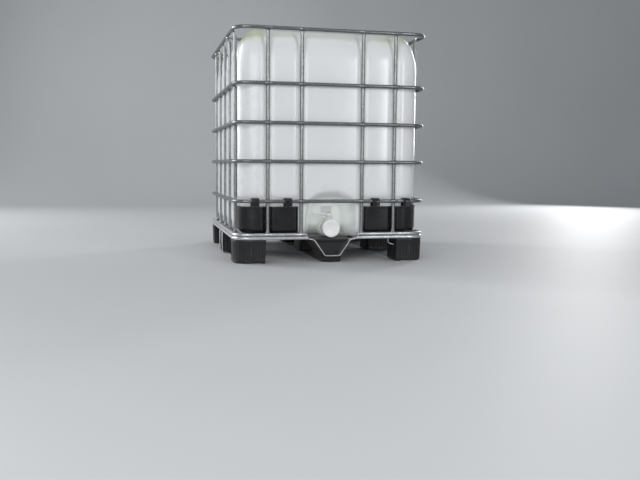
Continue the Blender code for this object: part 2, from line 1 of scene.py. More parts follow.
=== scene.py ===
# %% [markdown]
# # Intermediate bulk container
#
# A blow-moulded bottle of about 1000 litres stands on a low pallet inside a cage of
# galvanised tube. A screw lid with a vent plug closes the top, and a butterfly valve with a
# lever and a dust cap closes the outlet at the bottom of the front.
#
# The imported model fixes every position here. It is loaded first, and each piece takes its
# place from the box of the node that it stands for, so nothing has to be fitted by eye.

from functools import cached_property

import bpy
import numpy as np
from mathutils import Matrix, Vector


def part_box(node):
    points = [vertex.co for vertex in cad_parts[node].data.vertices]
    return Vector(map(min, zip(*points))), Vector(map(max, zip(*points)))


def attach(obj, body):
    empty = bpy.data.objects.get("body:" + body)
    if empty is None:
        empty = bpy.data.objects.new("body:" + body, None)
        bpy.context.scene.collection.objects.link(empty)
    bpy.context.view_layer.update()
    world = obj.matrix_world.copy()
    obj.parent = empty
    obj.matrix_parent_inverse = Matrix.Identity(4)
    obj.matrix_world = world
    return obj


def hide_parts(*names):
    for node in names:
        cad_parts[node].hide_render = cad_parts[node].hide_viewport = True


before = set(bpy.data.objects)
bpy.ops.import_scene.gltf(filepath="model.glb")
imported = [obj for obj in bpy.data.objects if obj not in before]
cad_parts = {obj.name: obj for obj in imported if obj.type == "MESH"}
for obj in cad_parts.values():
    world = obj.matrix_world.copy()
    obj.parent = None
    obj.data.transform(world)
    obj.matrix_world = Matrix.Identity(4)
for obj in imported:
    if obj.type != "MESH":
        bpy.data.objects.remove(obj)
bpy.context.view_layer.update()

# %% [markdown]
# The sizes that several pieces share are read from the frame once: the radius of the cage
# tube, the height of each ring, the place of each upright, and the centre of the valve.


# %% Sizes read from the frame
def node_box(node):
    """Lowest and highest corner of a node, as arrays."""
    low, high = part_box(node)
    return np.array(low), np.array(high)


def node_middle(node):
    return sum(node_box(node)) / 2


def nodes_named(start):
    return sorted(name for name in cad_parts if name.startswith(start))


ring_low, ring_high = node_box("cage_ring_top")
tube_radius = (ring_high[2] - ring_low[2]) / 2
ring_half = ring_high[:2] - tube_radius
ring_heights = {name: node_middle(name)[2] for name in nodes_named("cage_ring_")}
upright_places = {name: node_middle(name) for name in nodes_named("upright_")}
upright_low, upright_high = (corner[2] for corner in node_box("upright_front_1"))
upright_half = np.array([upright_places["upright_right_1"][0], upright_places["upright_rear_1"][1]])
frame_low, frame_high = node_box("pallet_frame")
bottle_low, bottle_high = node_box("bottle")
valve_low, valve_high = node_box("valve_body")
nut_low, nut_high = node_box("valve_nut")
outlet_height = node_middle("valve_nut")[2]
RING_CORNER = 0.080
NOTCH_HALF = 0.130
UP = np.array([0.0, 0.0, 1.0])
ACROSS, BACK = (1, 0, 0), (0, 1, 0)
print("tube radius", round(tube_radius, 4), "ring half sizes", np.round(ring_half, 4).tolist())
print("ring heights", {name: round(height, 4) for name, height in ring_heights.items()})

# %% [markdown]
# ## Meshes from grids
#
# Nearly every piece is a grid of points: rings of points that follow one another, each ring
# closed on itself. Numpy works out a whole grid at once. The cells of the grid become
# four-sided faces, and a fan of triangles closes each end, so the piece is one closed skin.
# Blender could also bevel a curve or turn a Screw modifier, but a grid lets the section
# change along the way, which dents, flattened ends and moulded ribs all need.


# %% Grids, caps and the turn outwards
def grid_faces(rows, columns):
    """Corners of each cell: (i, j), (i, j + 1), (i + 1, j + 1), (i + 1, j). The last column meets the first."""
    i, j = np.meshgrid(np.arange(rows - 1), np.arange(columns), indexing="ij")
    k = (j + 1) % columns
    below, above = i * columns, (i + 1) * columns
    return np.stack([below + j, below + k, above + k, above + j], -1).reshape(-1, 4)


def facing_out(points, quads, fans):
    """Adds up the triangles' triple products, six times the volume. Below zero, every face turns round."""
    triangles = np.vstack([quads[:, [0, 1, 2]], quads[:, [0, 2, 3]], fans])
    a, b, c = (points[triangles[:, corner]] for corner in range(3))
    if np.einsum("ij,ij->i", a, np.cross(b, c)).sum() < 0:
        return points, quads[:, ::-1], fans[:, ::-1]
    return points, quads, fans


def capped(rings):
    """A grid of rings closed at both ends by a fan to the middle of the end ring."""
    rows, columns, _ = rings.shape
    points = np.vstack([rings.reshape(-1, 3), rings[0].mean(0), rings[-1].mean(0)])
    a = np.arange(columns)
    b = (a + 1) % columns
    last = (rows - 1) * columns
    middle = np.full(columns, rows * columns)
    fans = [np.stack([b, a, middle], -1), np.stack([last + a, last + b, middle + 1], -1)]
    return facing_out(points, grid_faces(rows, columns), np.vstack(fans))


def looped(rings):
    """A grid whose last ring meets its first, as on a closed hoop."""
    rows, columns, _ = rings.shape
    quads = grid_faces(rows + 1, columns) % (rows * columns)
    return facing_out(rings.reshape(-1, 3), quads, np.empty((0, 3), int))


def mesh_of(name, skins, sharp):
    """One mesh from closed skins, smooth except where two faces meet at more than the sharp angle."""
    points, loops, sizes, count = [], [], [], 0
    for skin_points, quads, fans in skins:
        points.append(skin_points)
        loops += [(quads + count).ravel(), (fans + count).ravel()]
        sizes += [np.full(len(quads), 4), np.full(len(fans), 3)]
        count += len(skin_points)
    points, loops, sizes = np.vstack(points), np.concatenate(loops), np.concatenate(sizes)
    mesh = bpy.data.meshes.new(name)
    mesh.vertices.add(len(points))
    mesh.vertices.foreach_set("co", points.astype(np.float32).ravel())
    mesh.loops.add(len(loops))
    mesh.loops.foreach_set("vertex_index", loops.astype(np.int32))
    mesh.polygons.add(len(sizes))
    mesh.polygons.foreach_set("loop_start", (np.cumsum(sizes) - sizes).astype(np.int32))
    mesh.update(calc_edges=True)
    mesh.polygons.foreach_set("use_smooth", np.ones(len(sizes), bool))
    mesh.set_sharp_from_angle(angle=np.radians(sharp))
    mesh.validate()
    return mesh


def add_piece(name, skins, material, body="base", stands_for=(), sharp=40):
    """Makes the object, gives it its material, hangs it under the empty of its body, and hides the nodes that it
    stands for.
    """
    mesh = mesh_of(name, skins, sharp)
    mesh.materials.append(material)
    piece = bpy.data.objects.new(name, mesh)
    bpy.context.scene.collection.objects.link(piece)
    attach(piece, body)
    if stands_for:
        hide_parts(*stands_for)
    return piece


def smooth_step(share):
    """3t^2 - 2t^3 between zero and one, and flat outside."""
    share = np.clip(share, 0, 1)
    return share * share * (3 - 2 * share)


def bell(distance, reach, power=2):
    """exp(-(distance / reach)^power): one at no distance, and almost nothing past the reach."""
    return np.exp(-((distance / reach) ** power))


# %% [markdown]
# Four ways of making a grid cover almost everything. A section is carried along a path, a
# half profile is turned round an axis, a loop is pulled upwards, and a path is rounded off
# at its corners first.


# %% Sweeps and turnings
def swept(path, axis, section, closed=False):
    """Carries a section along a path: place + first number * side direction + second number * axis."""
    path, axis = np.asarray(path, float), np.asarray(axis, float)
    tangent = np.roll(path, -1, 0) - np.roll(path, 1, 0) if closed else np.gradient(path, axis=0)
    side = np.cross(tangent, axis)
    side /= np.linalg.norm(side, axis=1, keepdims=True)
    section = np.broadcast_to(section, (len(path), *np.shape(section)[-2:]))
    rings = path[:, None] + section[..., :1] * side[:, None] + section[..., 1:] * axis
    return looped(rings) if closed else capped(rings)


def level_path(places, height):
    """Gives flat places, x and y, one height or a height each."""
    return np.column_stack([places, np.broadcast_to(height, len(places))])


def oval(half_side, half_axis, points=14):
    """An ellipse as a section. The half sizes may be arrays, one for each place on the path."""
    turn = np.linspace(0, 2 * np.pi, points, endpoint=False)
    half_side, half_axis = np.atleast_1d(half_side, half_axis)
    return np.stack([half_side[:, None] * np.cos(turn), half_axis[:, None] * np.sin(turn)], -1)


def rounded_strip(half_side, half_axis, edge):
    """A rectangle with rounded corners as a section: each corner is a quarter circle of the edge radius."""
    quarters = []
    for number, (a, b) in enumerate(((1, 1), (-1, 1), (-1, -1), (1, -1))):
        turn = np.radians(np.linspace(0, 90, 4)) + np.pi / 2 * number
        corner = [a * (half_side - edge), b * (half_axis - edge)]
        quarters.append(corner + edge * np.stack([np.cos(turn), np.sin(turn)], -1))
    return np.vstack(quarters)


DIRECTIONS = {"up": (ACROSS, BACK, UP), "forward": (ACROSS, UP, (0, -1, 0))}


def turned(profile, centre, way="up", columns=64, ribs=None, closed=False):
    """Turns (radius, distance) pairs round an axis. Ribs(angle, radius, distance) is added to the radius."""
    profile = np.asarray(profile, float)
    across, other, along = (np.array(direction, float) for direction in DIRECTIONS[way])
    turn = np.linspace(0, 2 * np.pi, columns, endpoint=False)
    radius = np.repeat(profile[:, :1], columns, 1)
    if ribs is not None:
        radius = radius + ribs(turn[None, :], profile[:, :1], profile[:, 1:])
    rings = np.asarray(centre, float) + profile[:, 1][:, None, None] * along
    rings = rings + (radius * np.cos(turn))[..., None] * across + (radius * np.sin(turn))[..., None] * other
    return looped(rings) if closed else capped(rings)


# %% Rounded paths and loops
def softened(points, radius, steps=4, closed=False):
    """Each corner becomes (1-t)^2 a + 2t(1-t) corner + t^2 b, where a and b lie the radius away from it."""
    points = np.asarray(points, float)

    def towards(other):
        reach = np.linalg.norm(other - points, axis=1, keepdims=True)
        return points + (other - points) * np.minimum(radius / reach, 0.49)

    a, b = towards(np.roll(points, 1, 0)), towards(np.roll(points, -1, 0))
    t = np.linspace(0, 1, steps + 1)[:, None]
    curves = (1 - t) ** 2 * a[:, None] + 2 * t * (1 - t) * points[:, None] + t**2 * b[:, None]
    if closed:
        return curves.reshape(-1, points.shape[1])
    return np.vstack([points[:1], curves[1:-1].reshape(-1, points.shape[1]), points[-1:]])


def evenly(path, spacing):
    """Points at equal distances along a path."""
    path = np.asarray(path, float)
    distance = np.concatenate([[0], np.cumsum(np.linalg.norm(np.diff(path, axis=0), axis=1))])
    places = np.linspace(0, distance[-1], max(2, round(distance[-1] / spacing) + 1))
    return np.stack([np.interp(places, distance, column) for column in path.T], -1)


def bent_strip(corners, radius, spacing, across, at, section, steps=4):
    """A strip bent through corners in the plane across an axis, number 0, 1 or 2, at one place on that axis."""
    flat = evenly(softened(corners, radius, steps), spacing)
    return swept(np.insert(flat, across, at, axis=1), np.eye(3)[across], section)


def loop_table(half_x, half_y, radii):
    """Distance, x, y and outward direction along a rounded rectangle, anticlockwise from its front's middle."""
    start = np.array([[0, -half_y, 0, -1]])
    parts = [start]
    for number, (side_x, side_y) in enumerate(((1, -1), (1, 1), (-1, 1), (-1, -1))):
        turn = np.radians(90 * number - 90 + np.linspace(0, 90, 33))
        cos, sin, radius = np.cos(turn), np.sin(turn), radii[number]
        x = side_x * (half_x - radius) + radius * cos
        y = side_y * (half_y - radius) + radius * sin
        parts.append(np.stack([x, y, cos, sin], 1))
    table = np.vstack([*parts, start])
    steps = np.linalg.norm(np.diff(table[:, :2], axis=0), axis=1)
    return np.concatenate([[0], np.cumsum(steps)]), table


def on_loop(along, loop):
    """Place and outward direction at a distance along a loop."""
    distance, table = loop
    along = np.asarray(along) % distance[-1]
    found = np.stack([np.interp(along, distance, column) for column in table.T], -1)
    return found[..., :2], found[..., 2:] / np.linalg.norm(found[..., 2:], axis=-1, keepdims=True)


def places_on(loop, samples=8000):
    """The distances along a loop that come nearest to the uprights."""
    along = np.linspace(0, loop[0][-1], samples)
    spots = on_loop(along, loop)[0]
    gaps = (np.linalg.norm(spots - place[:2], axis=1) for place in upright_places.values())
    return np.array([along[gap.argmin()] for gap in gaps])


def apart(along, places, length):
    """Distance from each place along a closed loop to the nearest of the given places."""
    gap = np.abs(np.asarray(along)[..., None] - np.asarray(places))
    return np.minimum(gap, length - gap).min(-1)


print("grid helpers ready")

# %% [markdown]
# ## Camera, floor and light
#
# The container is seen from its front left, a little below the middle of the bottle, with a
# normal lens. The camera looks along a direction made from its yaw and pitch, and rolls a
# little. Wide soft lamps in front, on the left and above light the panels evenly, and tall
# narrow ones on the right and behind give the bottle its bright vertical edges. A grey room
# keeps the tubes dark between their highlights.


# %% Camera
def facing(place, direction, roll=0.0):
    """A matrix whose minus Z looks along a direction and whose Y points up, rolled about its own Z."""
    turn = Vector(direction).to_track_quat("-Z", "Y").to_matrix().to_4x4()
    return Matrix.Translation(place) @ turn @ Matrix.Rotation(roll, 4, "Z")


yaw, pitch, roll = np.radians([13.39, -5.53, 0.49])
forward = (np.sin(yaw) * np.cos(pitch), np.cos(yaw) * np.cos(pitch), np.sin(pitch))
camera = bpy.data.objects.new("camera", bpy.data.cameras.new("camera"))
bpy.context.scene.collection.objects.link(camera)
camera.matrix_world = facing((-0.950, -4.314, 0.486), forward, roll)
camera.data.sensor_width = 36
camera.data.lens = 42.98
bpy.context.scene.camera = camera
bpy.context.scene.view_settings.view_transform = "Standard"
print("camera", [round(value, 3) for value in camera.matrix_world.translation])


# %% Floor, lamps and room
def soft_lamp(name, place, target, size, power):
    lamp = bpy.data.objects.new(name, bpy.data.lights.new(name, "AREA"))
    lamp.data.shape = "RECTANGLE"
    lamp.data.size, lamp.data.size_y = size
    lamp.data.energy = power
    lamp.visible_camera = False
    lamp.matrix_world = facing(place, np.subtract(target, place))
    bpy.context.scene.collection.objects.link(lamp)


def floor_sheet(size, rise, run):
    """A flat floor that curves up into a backdrop along a quarter circle of the rise's radius."""
    turn = np.radians(np.linspace(0, 90, 24))
    depth = np.concatenate([[-size], run + rise * np.sin(turn), [run + rise]])
    height = np.concatenate([[0], rise * (1 - np.cos(turn)), [rise * 4]])
    points = [(x, y, z) for y, z in zip(depth, height) for x in (-size, size)]
    corner = 2 * np.arange(len(depth) - 1)[:, None]
    mesh = bpy.data.meshes.new("studio_floor")
    mesh.from_pydata(points, [], (corner + [0, 1, 3, 2]).tolist())
    mesh.polygons.foreach_set("use_smooth", np.ones(len(corner), bool))
    return mesh


floor = bpy.data.objects.new("studio_floor", floor_sheet(size=9, rise=1.5, run=5.0))
bpy.context.scene.collection.objects.link(floor)
soft_lamp("left_rear_lamp", (-5.0, 3.5, 2.3), (-0.3, 0, 0.6), (1.1, 3.4), 150)
soft_lamp("left_lamp", (-4.6, 1.9, 2.2), (-0.2, 0, 0.6), (3.0, 3.0), 70)
soft_lamp("right_rear_lamp", (4.4, 4.0, 2.3), (0.3, 0, 0.6), (0.9, 3.4), 115)
soft_lamp("front_lamp", (-2.3, -4.4, 1.9), (0, 0, 0.45), (3.2, 2.8), 84)
soft_lamp("right_lamp", (2.1, -4.3, 1.7), (0, 0, 0.6), (0.28, 2.6), 46)
soft_lamp("top_lamp", (-0.4, -0.8, 4.2), (0, 0, 0.6), (3.0, 3.0), 22)
world = bpy.data.worlds.new("grey_room")
world.use_nodes = True
world.node_tree.nodes["Background"].inputs["Color"].default_value = (0.268, 0.281, 0.299, 1)
bpy.context.scene.world = world
print("floor, six lamps and a grey room")

# %% [markdown]
# ## Finishes
#
# The real finishes are hot-dip zinc on the tubes and the pallet, natural polyethylene on the
# bottle, white moulded plastic on the valve and lid, and black moulded plastic on the feet
# and corner guards. They share four effects: the cloudy crystals of zinc, the speckle of a
# moulded skin, rubbed edges, and dust that settles on what faces up. Each effect is a node
# group that puts out masks, colours and heights, and each material mixes them its own way.
# A picture of a real surface could be used instead, but nodes work at any scale and need no
# unwrapping.


# %% Helpers for nodes
class Nodes:
    """A node tree with short calls. A value that is a socket is linked, anything else is set."""

    def __init__(self, tree, result):
        self.tree, self.result = tree, result

    def fill(self, socket, value):
        """Three numbers are enough for a colour."""
        if isinstance(value, bpy.types.NodeSocket):
            self.tree.links.new(value, socket)
        else:
            socket.default_value = (*value, 1) if socket.type == "RGBA" else value

    def add(self, kind, sockets, **settings):
        made = self.tree.nodes.new("ShaderNode" + kind)
        for setting, value in settings.items():
            setattr(made, setting, value)
        for socket, value in sockets.items():
            self.fill(made.inputs[socket], value)
        return made.outputs

    def put(self, **values):
        """Fills the sockets of the shader, or of the effect's outputs. The keyword has _ for a space."""
        for socket, value in values.items():
            self.fill(self.result[socket.replace("_", " ")], value)

    @cached_property
    def place(self):
        return self.add("TexCoord", {})["Object"]

    def noise(self, scale, detail, roughness=0.5, vector=None):
        vector = self.place if vector is None else vector
        return self.add("TexNoise", {"Vector": vector, "Scale": scale, "Detail": detail, "Roughness": roughness})[0]

    def stretched(self, scale, rotation=(0, 0, 0)):
        return self.add("Mapping", {"Vector": self.place, "Rotation": rotation, "Scale": scale})[0]

    def maths(self, operation, a, b):
        return self.add("Math", {0: a, 1: b}, operation=operation)[0]

    def plus(self, a, b):
        return self.maths("ADD", a, b)

    def times(self, a, b):
        return self.maths("MULTIPLY", a, b)

    def mix(self, share, a, b):
        """A mix of two colours: they go in at sockets 6 and 7, and the result comes out at number 2."""
        return self.add("Mix", {0: share, 6: a, 7: b}, data_type="RGBA")[2]

    def ranged(self, value, low, high, to_low=0.0, to_high=1.0):
        """Stretches low..high to a new range and holds it there outside."""
        return self.add("MapRange", {0: value, 1: low, 2: high, 3: to_low, 4: to_high})[0]

    def bump(self, height, strength, distance):
        return self.add("Bump", {"Height": height, "Strength": strength, "Distance": distance})[0]

    def attribute(self, name):
        return self.add("Attribute", {}, attribute_name=name)["Fac"]

    def effect(self, group, **values):
        return self.add("Group", values, node_tree=group)


def new_effect(name, inputs, outputs):
    """A node group with named inputs and their starting values. A colour is three numbers, or the output Colour."""
    group = bpy.data.node_groups.new(name, "ShaderNodeTree")
    for socket, value in inputs.items():
        kind, value = ("Float", value) if isinstance(value, float) else ("Color", (*value, 1))
        made = group.interface.new_socket(socket, in_out="INPUT", socket_type="NodeSocket" + kind)
        made.default_value = value
    for socket in outputs:
        kind = "Color" if socket == "Colour" else "Float"
        group.interface.new_socket(socket, in_out="OUTPUT", socket_type="NodeSocket" + kind)
    given = group.nodes.new("NodeGroupInput").outputs
    return group, Nodes(group, group.nodes.new("NodeGroupOutput").inputs), given


def new_finish(name, **constants):
    """A material with a Principled shader. What is the same all over is set on the shader's own sockets."""
    finish = bpy.data.materials.new(name)
    finish.use_nodes = True
    nodes = Nodes(finish.node_tree, finish.node_tree.nodes["Principled BSDF"].inputs)
    nodes.put(**constants)
    return finish, nodes


# %% [markdown]
# Zinc freezes in crystals, so its grey changes in patches with soft borders, under a finer
# cloudiness. Cells of noise stand for the crystals, and a slow noise shifts the whole tone.

# %% Effect: zinc crystals
zinc_crystals, nodes, given = new_effect(
    "zinc crystals",
    {"Scale": 90.0, "Light": (0.6, 0.62, 0.63), "Dark": (0.4, 0.42, 0.43)},
    ("Colour", "Roughness", "Height"),
)
cells = nodes.add("TexVoronoi", {"Vector": nodes.place, "Scale": given["Scale"]})
crystal = nodes.add("SeparateColor", {0: cells["Color"]})[0]
tone = nodes.plus(nodes.times(crystal, 0.45), nodes.times(nodes.noise(6.0, 5.0, 0.6), 0.75))
nodes.put(
    Colour=nodes.mix(nodes.ranged(tone, 0.25, 0.95), given["Dark"], given["Light"]),
    Roughness=nodes.ranged(tone, 0.2, 0.9, 0.46, 0.27),
    Height=nodes.plus(nodes.noise(260.0, 3.0), nodes.times(crystal, 0.5)),
)

# %% [markdown]
# A moulded skin is never quite even: it has a faint blotchiness, a fine grain from the
# mould, and a few scratches from handling. Scratches are noise stretched along one
# direction and cut down to its thinnest crests.

# %% Effect: moulded skin
moulded_skin, nodes, given = new_effect(
    "moulded skin", {"Grain": 900.0, "Blotch": 5.0}, ("Blotches", "Scratches", "Height")
)
crests = nodes.noise(1.0, 2.0, vector=nodes.stretched((190.0, 190.0, 14.0), (0.9, 0.6, 0.4)))
scratches = nodes.ranged(crests, 0.72, 0.80)
nodes.put(
    Blotches=nodes.ranged(nodes.noise(given["Blotch"], 6.0, 0.62), 0.3, 0.7),
    Scratches=scratches,
    Height=nodes.maths("SUBTRACT", nodes.noise(given["Grain"], 2.0), scratches),
)

# %% [markdown]
# Edges that get knocked turn paler or shinier. Pointiness is high on outward edges, and a
# noise breaks the line up, so that it looks rubbed and not drawn.

# %% Effect: rubbed edges
rubbed_edges, nodes, given = new_effect("rubbed edges", {"Reach": 0.56}, ("Mask",))
pointed = nodes.add("NewGeometry", {})["Pointiness"]
edge = nodes.maths("SUBTRACT", pointed, nodes.times(nodes.noise(70.0, 4.0), 0.06))
nodes.put(Mask=nodes.ranged(edge, nodes.maths("SUBTRACT", given["Reach"], 0.06), given["Reach"]))

# %% [markdown]
# Dust lies where a surface faces up, in drifts. The height of the normal gives the slope,
# and noise gives the drifts.

# %% Effect: settled dust
settled_dust, nodes, given = new_effect("settled dust", {"Amount": 0.4}, ("Mask",))
facing_up = nodes.add("SeparateXYZ", {0: nodes.add("NewGeometry", {})["Normal"]})["Z"]
drifts = nodes.ranged(nodes.noise(22.0, 7.0, 0.68), 0.35, 0.75)
nodes.put(Mask=nodes.times(nodes.times(nodes.ranged(facing_up, 0.35, 0.95), drifts), given["Amount"]))
print("effects:", ", ".join(group.name for group in bpy.data.node_groups))

# %% [markdown]
# Galvanised metal is fully metallic, with the zinc crystals in its colour and roughness. The
# uprights have dulled to a mid grey. The rings are the same tube in a darker copy, which is
# painted shade: the dark surroundings that they reflect. The pressed pallet steel is brighter,
# with larger crystals, and its edges are polished by forks and straps.


# %% Finishes: galvanised metal
def galvanised(name, scale, light, dark, rubbed, dust):
    finish, nodes = new_finish(name, Metallic=1.0)
    zinc = nodes.effect(zinc_crystals, Scale=scale, Light=light, Dark=dark)
    wear = nodes.effect(rubbed_edges, Reach=0.57)["Mask"]
    dusty = nodes.effect(settled_dust, Amount=dust)["Mask"]
    nodes.put(
        Base_Color=nodes.mix(dusty, nodes.mix(wear, zinc["Colour"], rubbed), (0.33, 0.32, 0.30)),
        Roughness=nodes.plus(zinc["Roughness"], nodes.times(dusty, 0.4)),
        Normal=nodes.bump(zinc["Height"], 0.25, 0.0004),
    )
    return finish


tube_zinc = galvanised(
    "galvanised tube", 130.0, (0.325, 0.34, 0.345), (0.215, 0.226, 0.234), (0.60, 0.61, 0.62), dust=0.25
)
# The rings take a darker copy of the tube zinc, which is painted shade.
ring_zinc_painted_dark = galvanised(
    "galvanised ring painted dark", 130.0, (0.23, 0.24, 0.245), (0.15, 0.158, 0.163), (0.50, 0.51, 0.52), dust=0.25
)
sheet_zinc = galvanised(
    "galvanised sheet", 75.0, (0.74, 0.75, 0.76), (0.46, 0.48, 0.49), (0.88, 0.88, 0.88), dust=0.35
)
bright_zinc = galvanised(
    "bright tube", 130.0, (0.68, 0.69, 0.70), (0.42, 0.435, 0.44), (0.85, 0.85, 0.86), dust=0.2
)
bolt_zinc = galvanised(
    "plated bolt", 240.0, (0.36, 0.355, 0.33), (0.22, 0.215, 0.20), (0.55, 0.55, 0.53), dust=0.1
)

# %% Finish: burnt zinc at the welds
weld_burn, nodes = new_finish("burnt zinc", Metallic=1.0)
zinc = nodes.effect(zinc_crystals, Scale=300.0, Light=(0.46, 0.45, 0.43), Dark=(0.16, 0.15, 0.14))
nodes.put(
    Base_Color=zinc["Colour"],
    Roughness=nodes.plus(zinc["Roughness"], 0.15),
    Normal=nodes.bump(zinc["Height"], 0.6, 0.0006),
)

# %% [markdown]
# The bottle is natural polyethylene: milky, and yellowed at its shoulders, which face the light.
# Light enters it and spreads, so the shader has some subsurface scattering. The colour follows
# two values kept on the mesh: how deep a point lies in a groove, and how far up the shoulder it
# is. The grooves and the rim of the recess round the valve are tinted greenish grey, which is
# painted shade. A third value puts a faint painted glow, standing for light that crosses the
# empty bottle, into the same shaded places: the grooves, and the recess round the valve.

# %% Finish: bottle
bottle_skin, nodes = new_finish(
    "natural polyethylene",
    Subsurface_Weight=0.35,
    Subsurface_Radius=(0.9, 1.0, 0.85),
    Subsurface_Scale=0.012,
    IOR=1.5,
    Coat_Weight=0.15,
    Coat_Roughness=0.16,
    Emission_Strength=1.0,
)
skin = nodes.effect(moulded_skin, Grain=420.0, Blotch=3.0)
flow = nodes.noise(1.0, 5.0, vector=nodes.stretched((7.0, 7.0, 1.2)))
milk = nodes.mix(flow, (0.74, 0.755, 0.765), (0.80, 0.81, 0.82))
# Painted shade: a greenish grey mixed in by the groove value, in the grooves and round the scoop.
groove_shade_tint = nodes.mix(nodes.times(nodes.attribute("groove"), 0.9), milk, (0.67, 0.74, 0.67))
yellowing = nodes.times(nodes.attribute("shoulder"), nodes.ranged(flow, 0.3, 0.65, 0.35, 0.85))
yellowed = nodes.mix(yellowing, groove_shade_tint, (0.53, 0.58, 0.37))
dusty = nodes.effect(settled_dust, Amount=0.3)["Mask"]
nodes.put(
    Base_Color=nodes.mix(dusty, yellowed, (0.62, 0.61, 0.57)),
    # Painted glow: a faint emission in the grooves and the scoop, from the shaded value, lifting their shade.
    Emission_Color=nodes.mix(nodes.attribute("shaded"), (0, 0, 0), (0.125, 0.137, 0.127)),
    Roughness=nodes.ranged(skin["Blotches"], 0.0, 1.0, 0.20, 0.29),
    Normal=nodes.bump(nodes.plus(skin["Height"], nodes.times(flow, 6.0)), 0.18, 0.001),
)

# %% [markdown]
# The other plastics differ only in colour, gloss and wear, so one function makes them. White
# parts turn a little grey in scratches. Black parts turn grey where they are rubbed.


# %% Finishes: moulded plastics and rubber
def moulded(name, clean, blotched, worn, roughness, dust, grain=900.0, **constants):
    finish, nodes = new_finish(name, **constants)
    skin = nodes.effect(moulded_skin, Grain=grain, Blotch=9.0)
    wear = nodes.effect(rubbed_edges, Reach=0.56)["Mask"]
    dusty = nodes.effect(settled_dust, Amount=dust)["Mask"]
    marked = nodes.maths("MAXIMUM", nodes.times(skin["Scratches"], 0.5), nodes.times(wear, 0.6))
    colour = nodes.mix(marked, nodes.mix(skin["Blotches"], clean, blotched), worn)
    rough = nodes.ranged(skin["Blotches"], 0.0, 1.0, roughness - 0.06, roughness + 0.06)
    nodes.put(
        Base_Color=nodes.mix(dusty, colour, (0.30, 0.29, 0.27)),
        Roughness=nodes.plus(rough, nodes.times(nodes.plus(marked, dusty), 0.15)),
        Normal=nodes.bump(skin["Height"], 0.2, 0.0003),
    )
    return finish


def grey(value):
    return (value, value, value)


cap_white = moulded("white cap", grey(0.88), (0.83, 0.83, 0.84), grey(0.60), 0.34, dust=0.1)
valve_white = moulded(
    "white valve", (0.78, 0.80, 0.76), (0.71, 0.74, 0.70), (0.50, 0.52, 0.50), 0.36,
    dust=0.15, Subsurface_Weight=0.15, Subsurface_Scale=0.006,
)
lid_white = moulded("white lid", (0.74, 0.75, 0.75), (0.68, 0.69, 0.69), grey(0.5), 0.40, dust=0.4)
guard_black = moulded(
    "black guard", (0.007, 0.0075, 0.009), (0.013, 0.0135, 0.015), (0.10, 0.10, 0.105), 0.22,
    dust=0.15, Specular_IOR_Level=0.38,
)
foot_black = moulded(
    "black foot", (0.008, 0.008, 0.009), (0.016, 0.016, 0.017), grey(0.12), 0.45,
    dust=0.35, grain=600.0, Specular_IOR_Level=0.38,
)
seal_black = moulded("sealing rubber", grey(0.02), grey(0.03), grey(0.08), 0.7, dust=0.2, grain=1500.0)
# The label has a faint painted glow in its emission, lifting the shade of the recess that it sits in.
label_paper = moulded(
    "blank label", grey(0.84), (0.60, 0.61, 0.62), (0.45, 0.46, 0.46), 0.45,
    dust=0.1, grain=300.0, Emission_Color=(0.085, 0.088, 0.088), Emission_Strength=1.0,
)

floor_finish, nodes = new_finish("studio floor", Roughness=0.6)
nodes.put(Base_Color=nodes.mix(nodes.noise(0.8, 4.0), (0.53, 0.54, 0.55), (0.57, 0.58, 0.585)))
floor.data.materials.append(floor_finish)
print("finishes:", ", ".join(finish.name for finish in bpy.data.materials if finish.use_nodes))

# %% [markdown]
# ## Cage
#
# The cage is welded tube. Six rings go round it, outside eighteen uprights. The press that
# welds a crossing squeezes both tubes, so they touch: each is thinner across the joint and
# wider along it. The change follows a bell curve of the distance to the crossing, and the
# same curve moves the two tubes together.

# %% Rings
DENT_REACH = 0.011
DENT_DEPTH = 0.0024
DENT_SPREAD = 0.0022
DENT_SHIFT = 0.0016
RING_PLACES = 430
OPEN_RING_PLACES = 410
ring_loop = loop_table(*ring_half, [RING_CORNER] * 4)
ring_length = ring_loop[0][-1]
crossings = places_on(ring_loop)
for node, height in ring_heights.items():
    opened = node == "cage_ring_bottom"
    along = np.linspace(0, ring_length, RING_PLACES, endpoint=False)
    if opened:
        along = np.linspace(NOTCH_HALF, ring_length - NOTCH_HALF, OPEN_RING_PLACES)
    dent = bell(apart(along, crossings, ring_length), DENT_REACH)
    place, outward = on_loop(along, ring_loop)
    spread = 0 if node in ("cage_ring_top", "cage_ring_bottom") else DENT_SPREAD
    tall = tube_radius + spread * dent
    if opened:
        end = np.minimum(along - NOTCH_HALF, ring_length - NOTCH_HALF - along)
        tall = tall * (0.45 + 0.55 * smooth_step(end / 0.03))
    path = level_path(place - (DENT_SHIFT * dent)[:, None] * outward, height)
    skin = swept(path, UP, oval(tube_radius - DENT_DEPTH * dent, tall), closed=not opened)
    add_piece(node + "_tube", [skin], bright_zinc if opened else ring_zinc_painted_dark, stands_for=[node])
print(len(ring_heights), "rings,", len(crossings), "crossings each")

# %% [markdown]
# An upright is one straight tube. Its foot is pressed flat and wide against the bottom ring,
# and its top is pressed against the top ring.

# %% Uprights
FOOT_FLARE = 0.0135
TOP_FLARE = 0.0120
FLAT_HALF = 0.0042
outward_of = {"front": (0, -1, 0), "rear": (0, 1, 0), "left": (-1, 0, 0), "right": (1, 0, 0)}
upright_outward = {node: np.array(outward_of[node.split("_")[1]], float) for node in upright_places}
ring_levels = np.array(list(ring_heights.values()))
height = np.linspace(upright_low, upright_high, 190)
dent = bell(np.abs(height[:, None] - ring_levels).min(1), DENT_REACH)
foot = 1 - smooth_step((height - upright_low) / 0.040)
top = 1 - smooth_step((upright_high - height) / 0.034)
ends = np.maximum(foot, top)
thick = (tube_radius - DENT_DEPTH * dent) * (1 - ends) + FLAT_HALF * ends
wide = tube_radius + DENT_SPREAD * dent * (1 - ends)
wide = wide + (FOOT_FLARE - tube_radius) * foot + (TOP_FLARE - tube_radius) * top
shift = DENT_SHIFT * dent * (1 - ends) + FLAT_HALF * ends
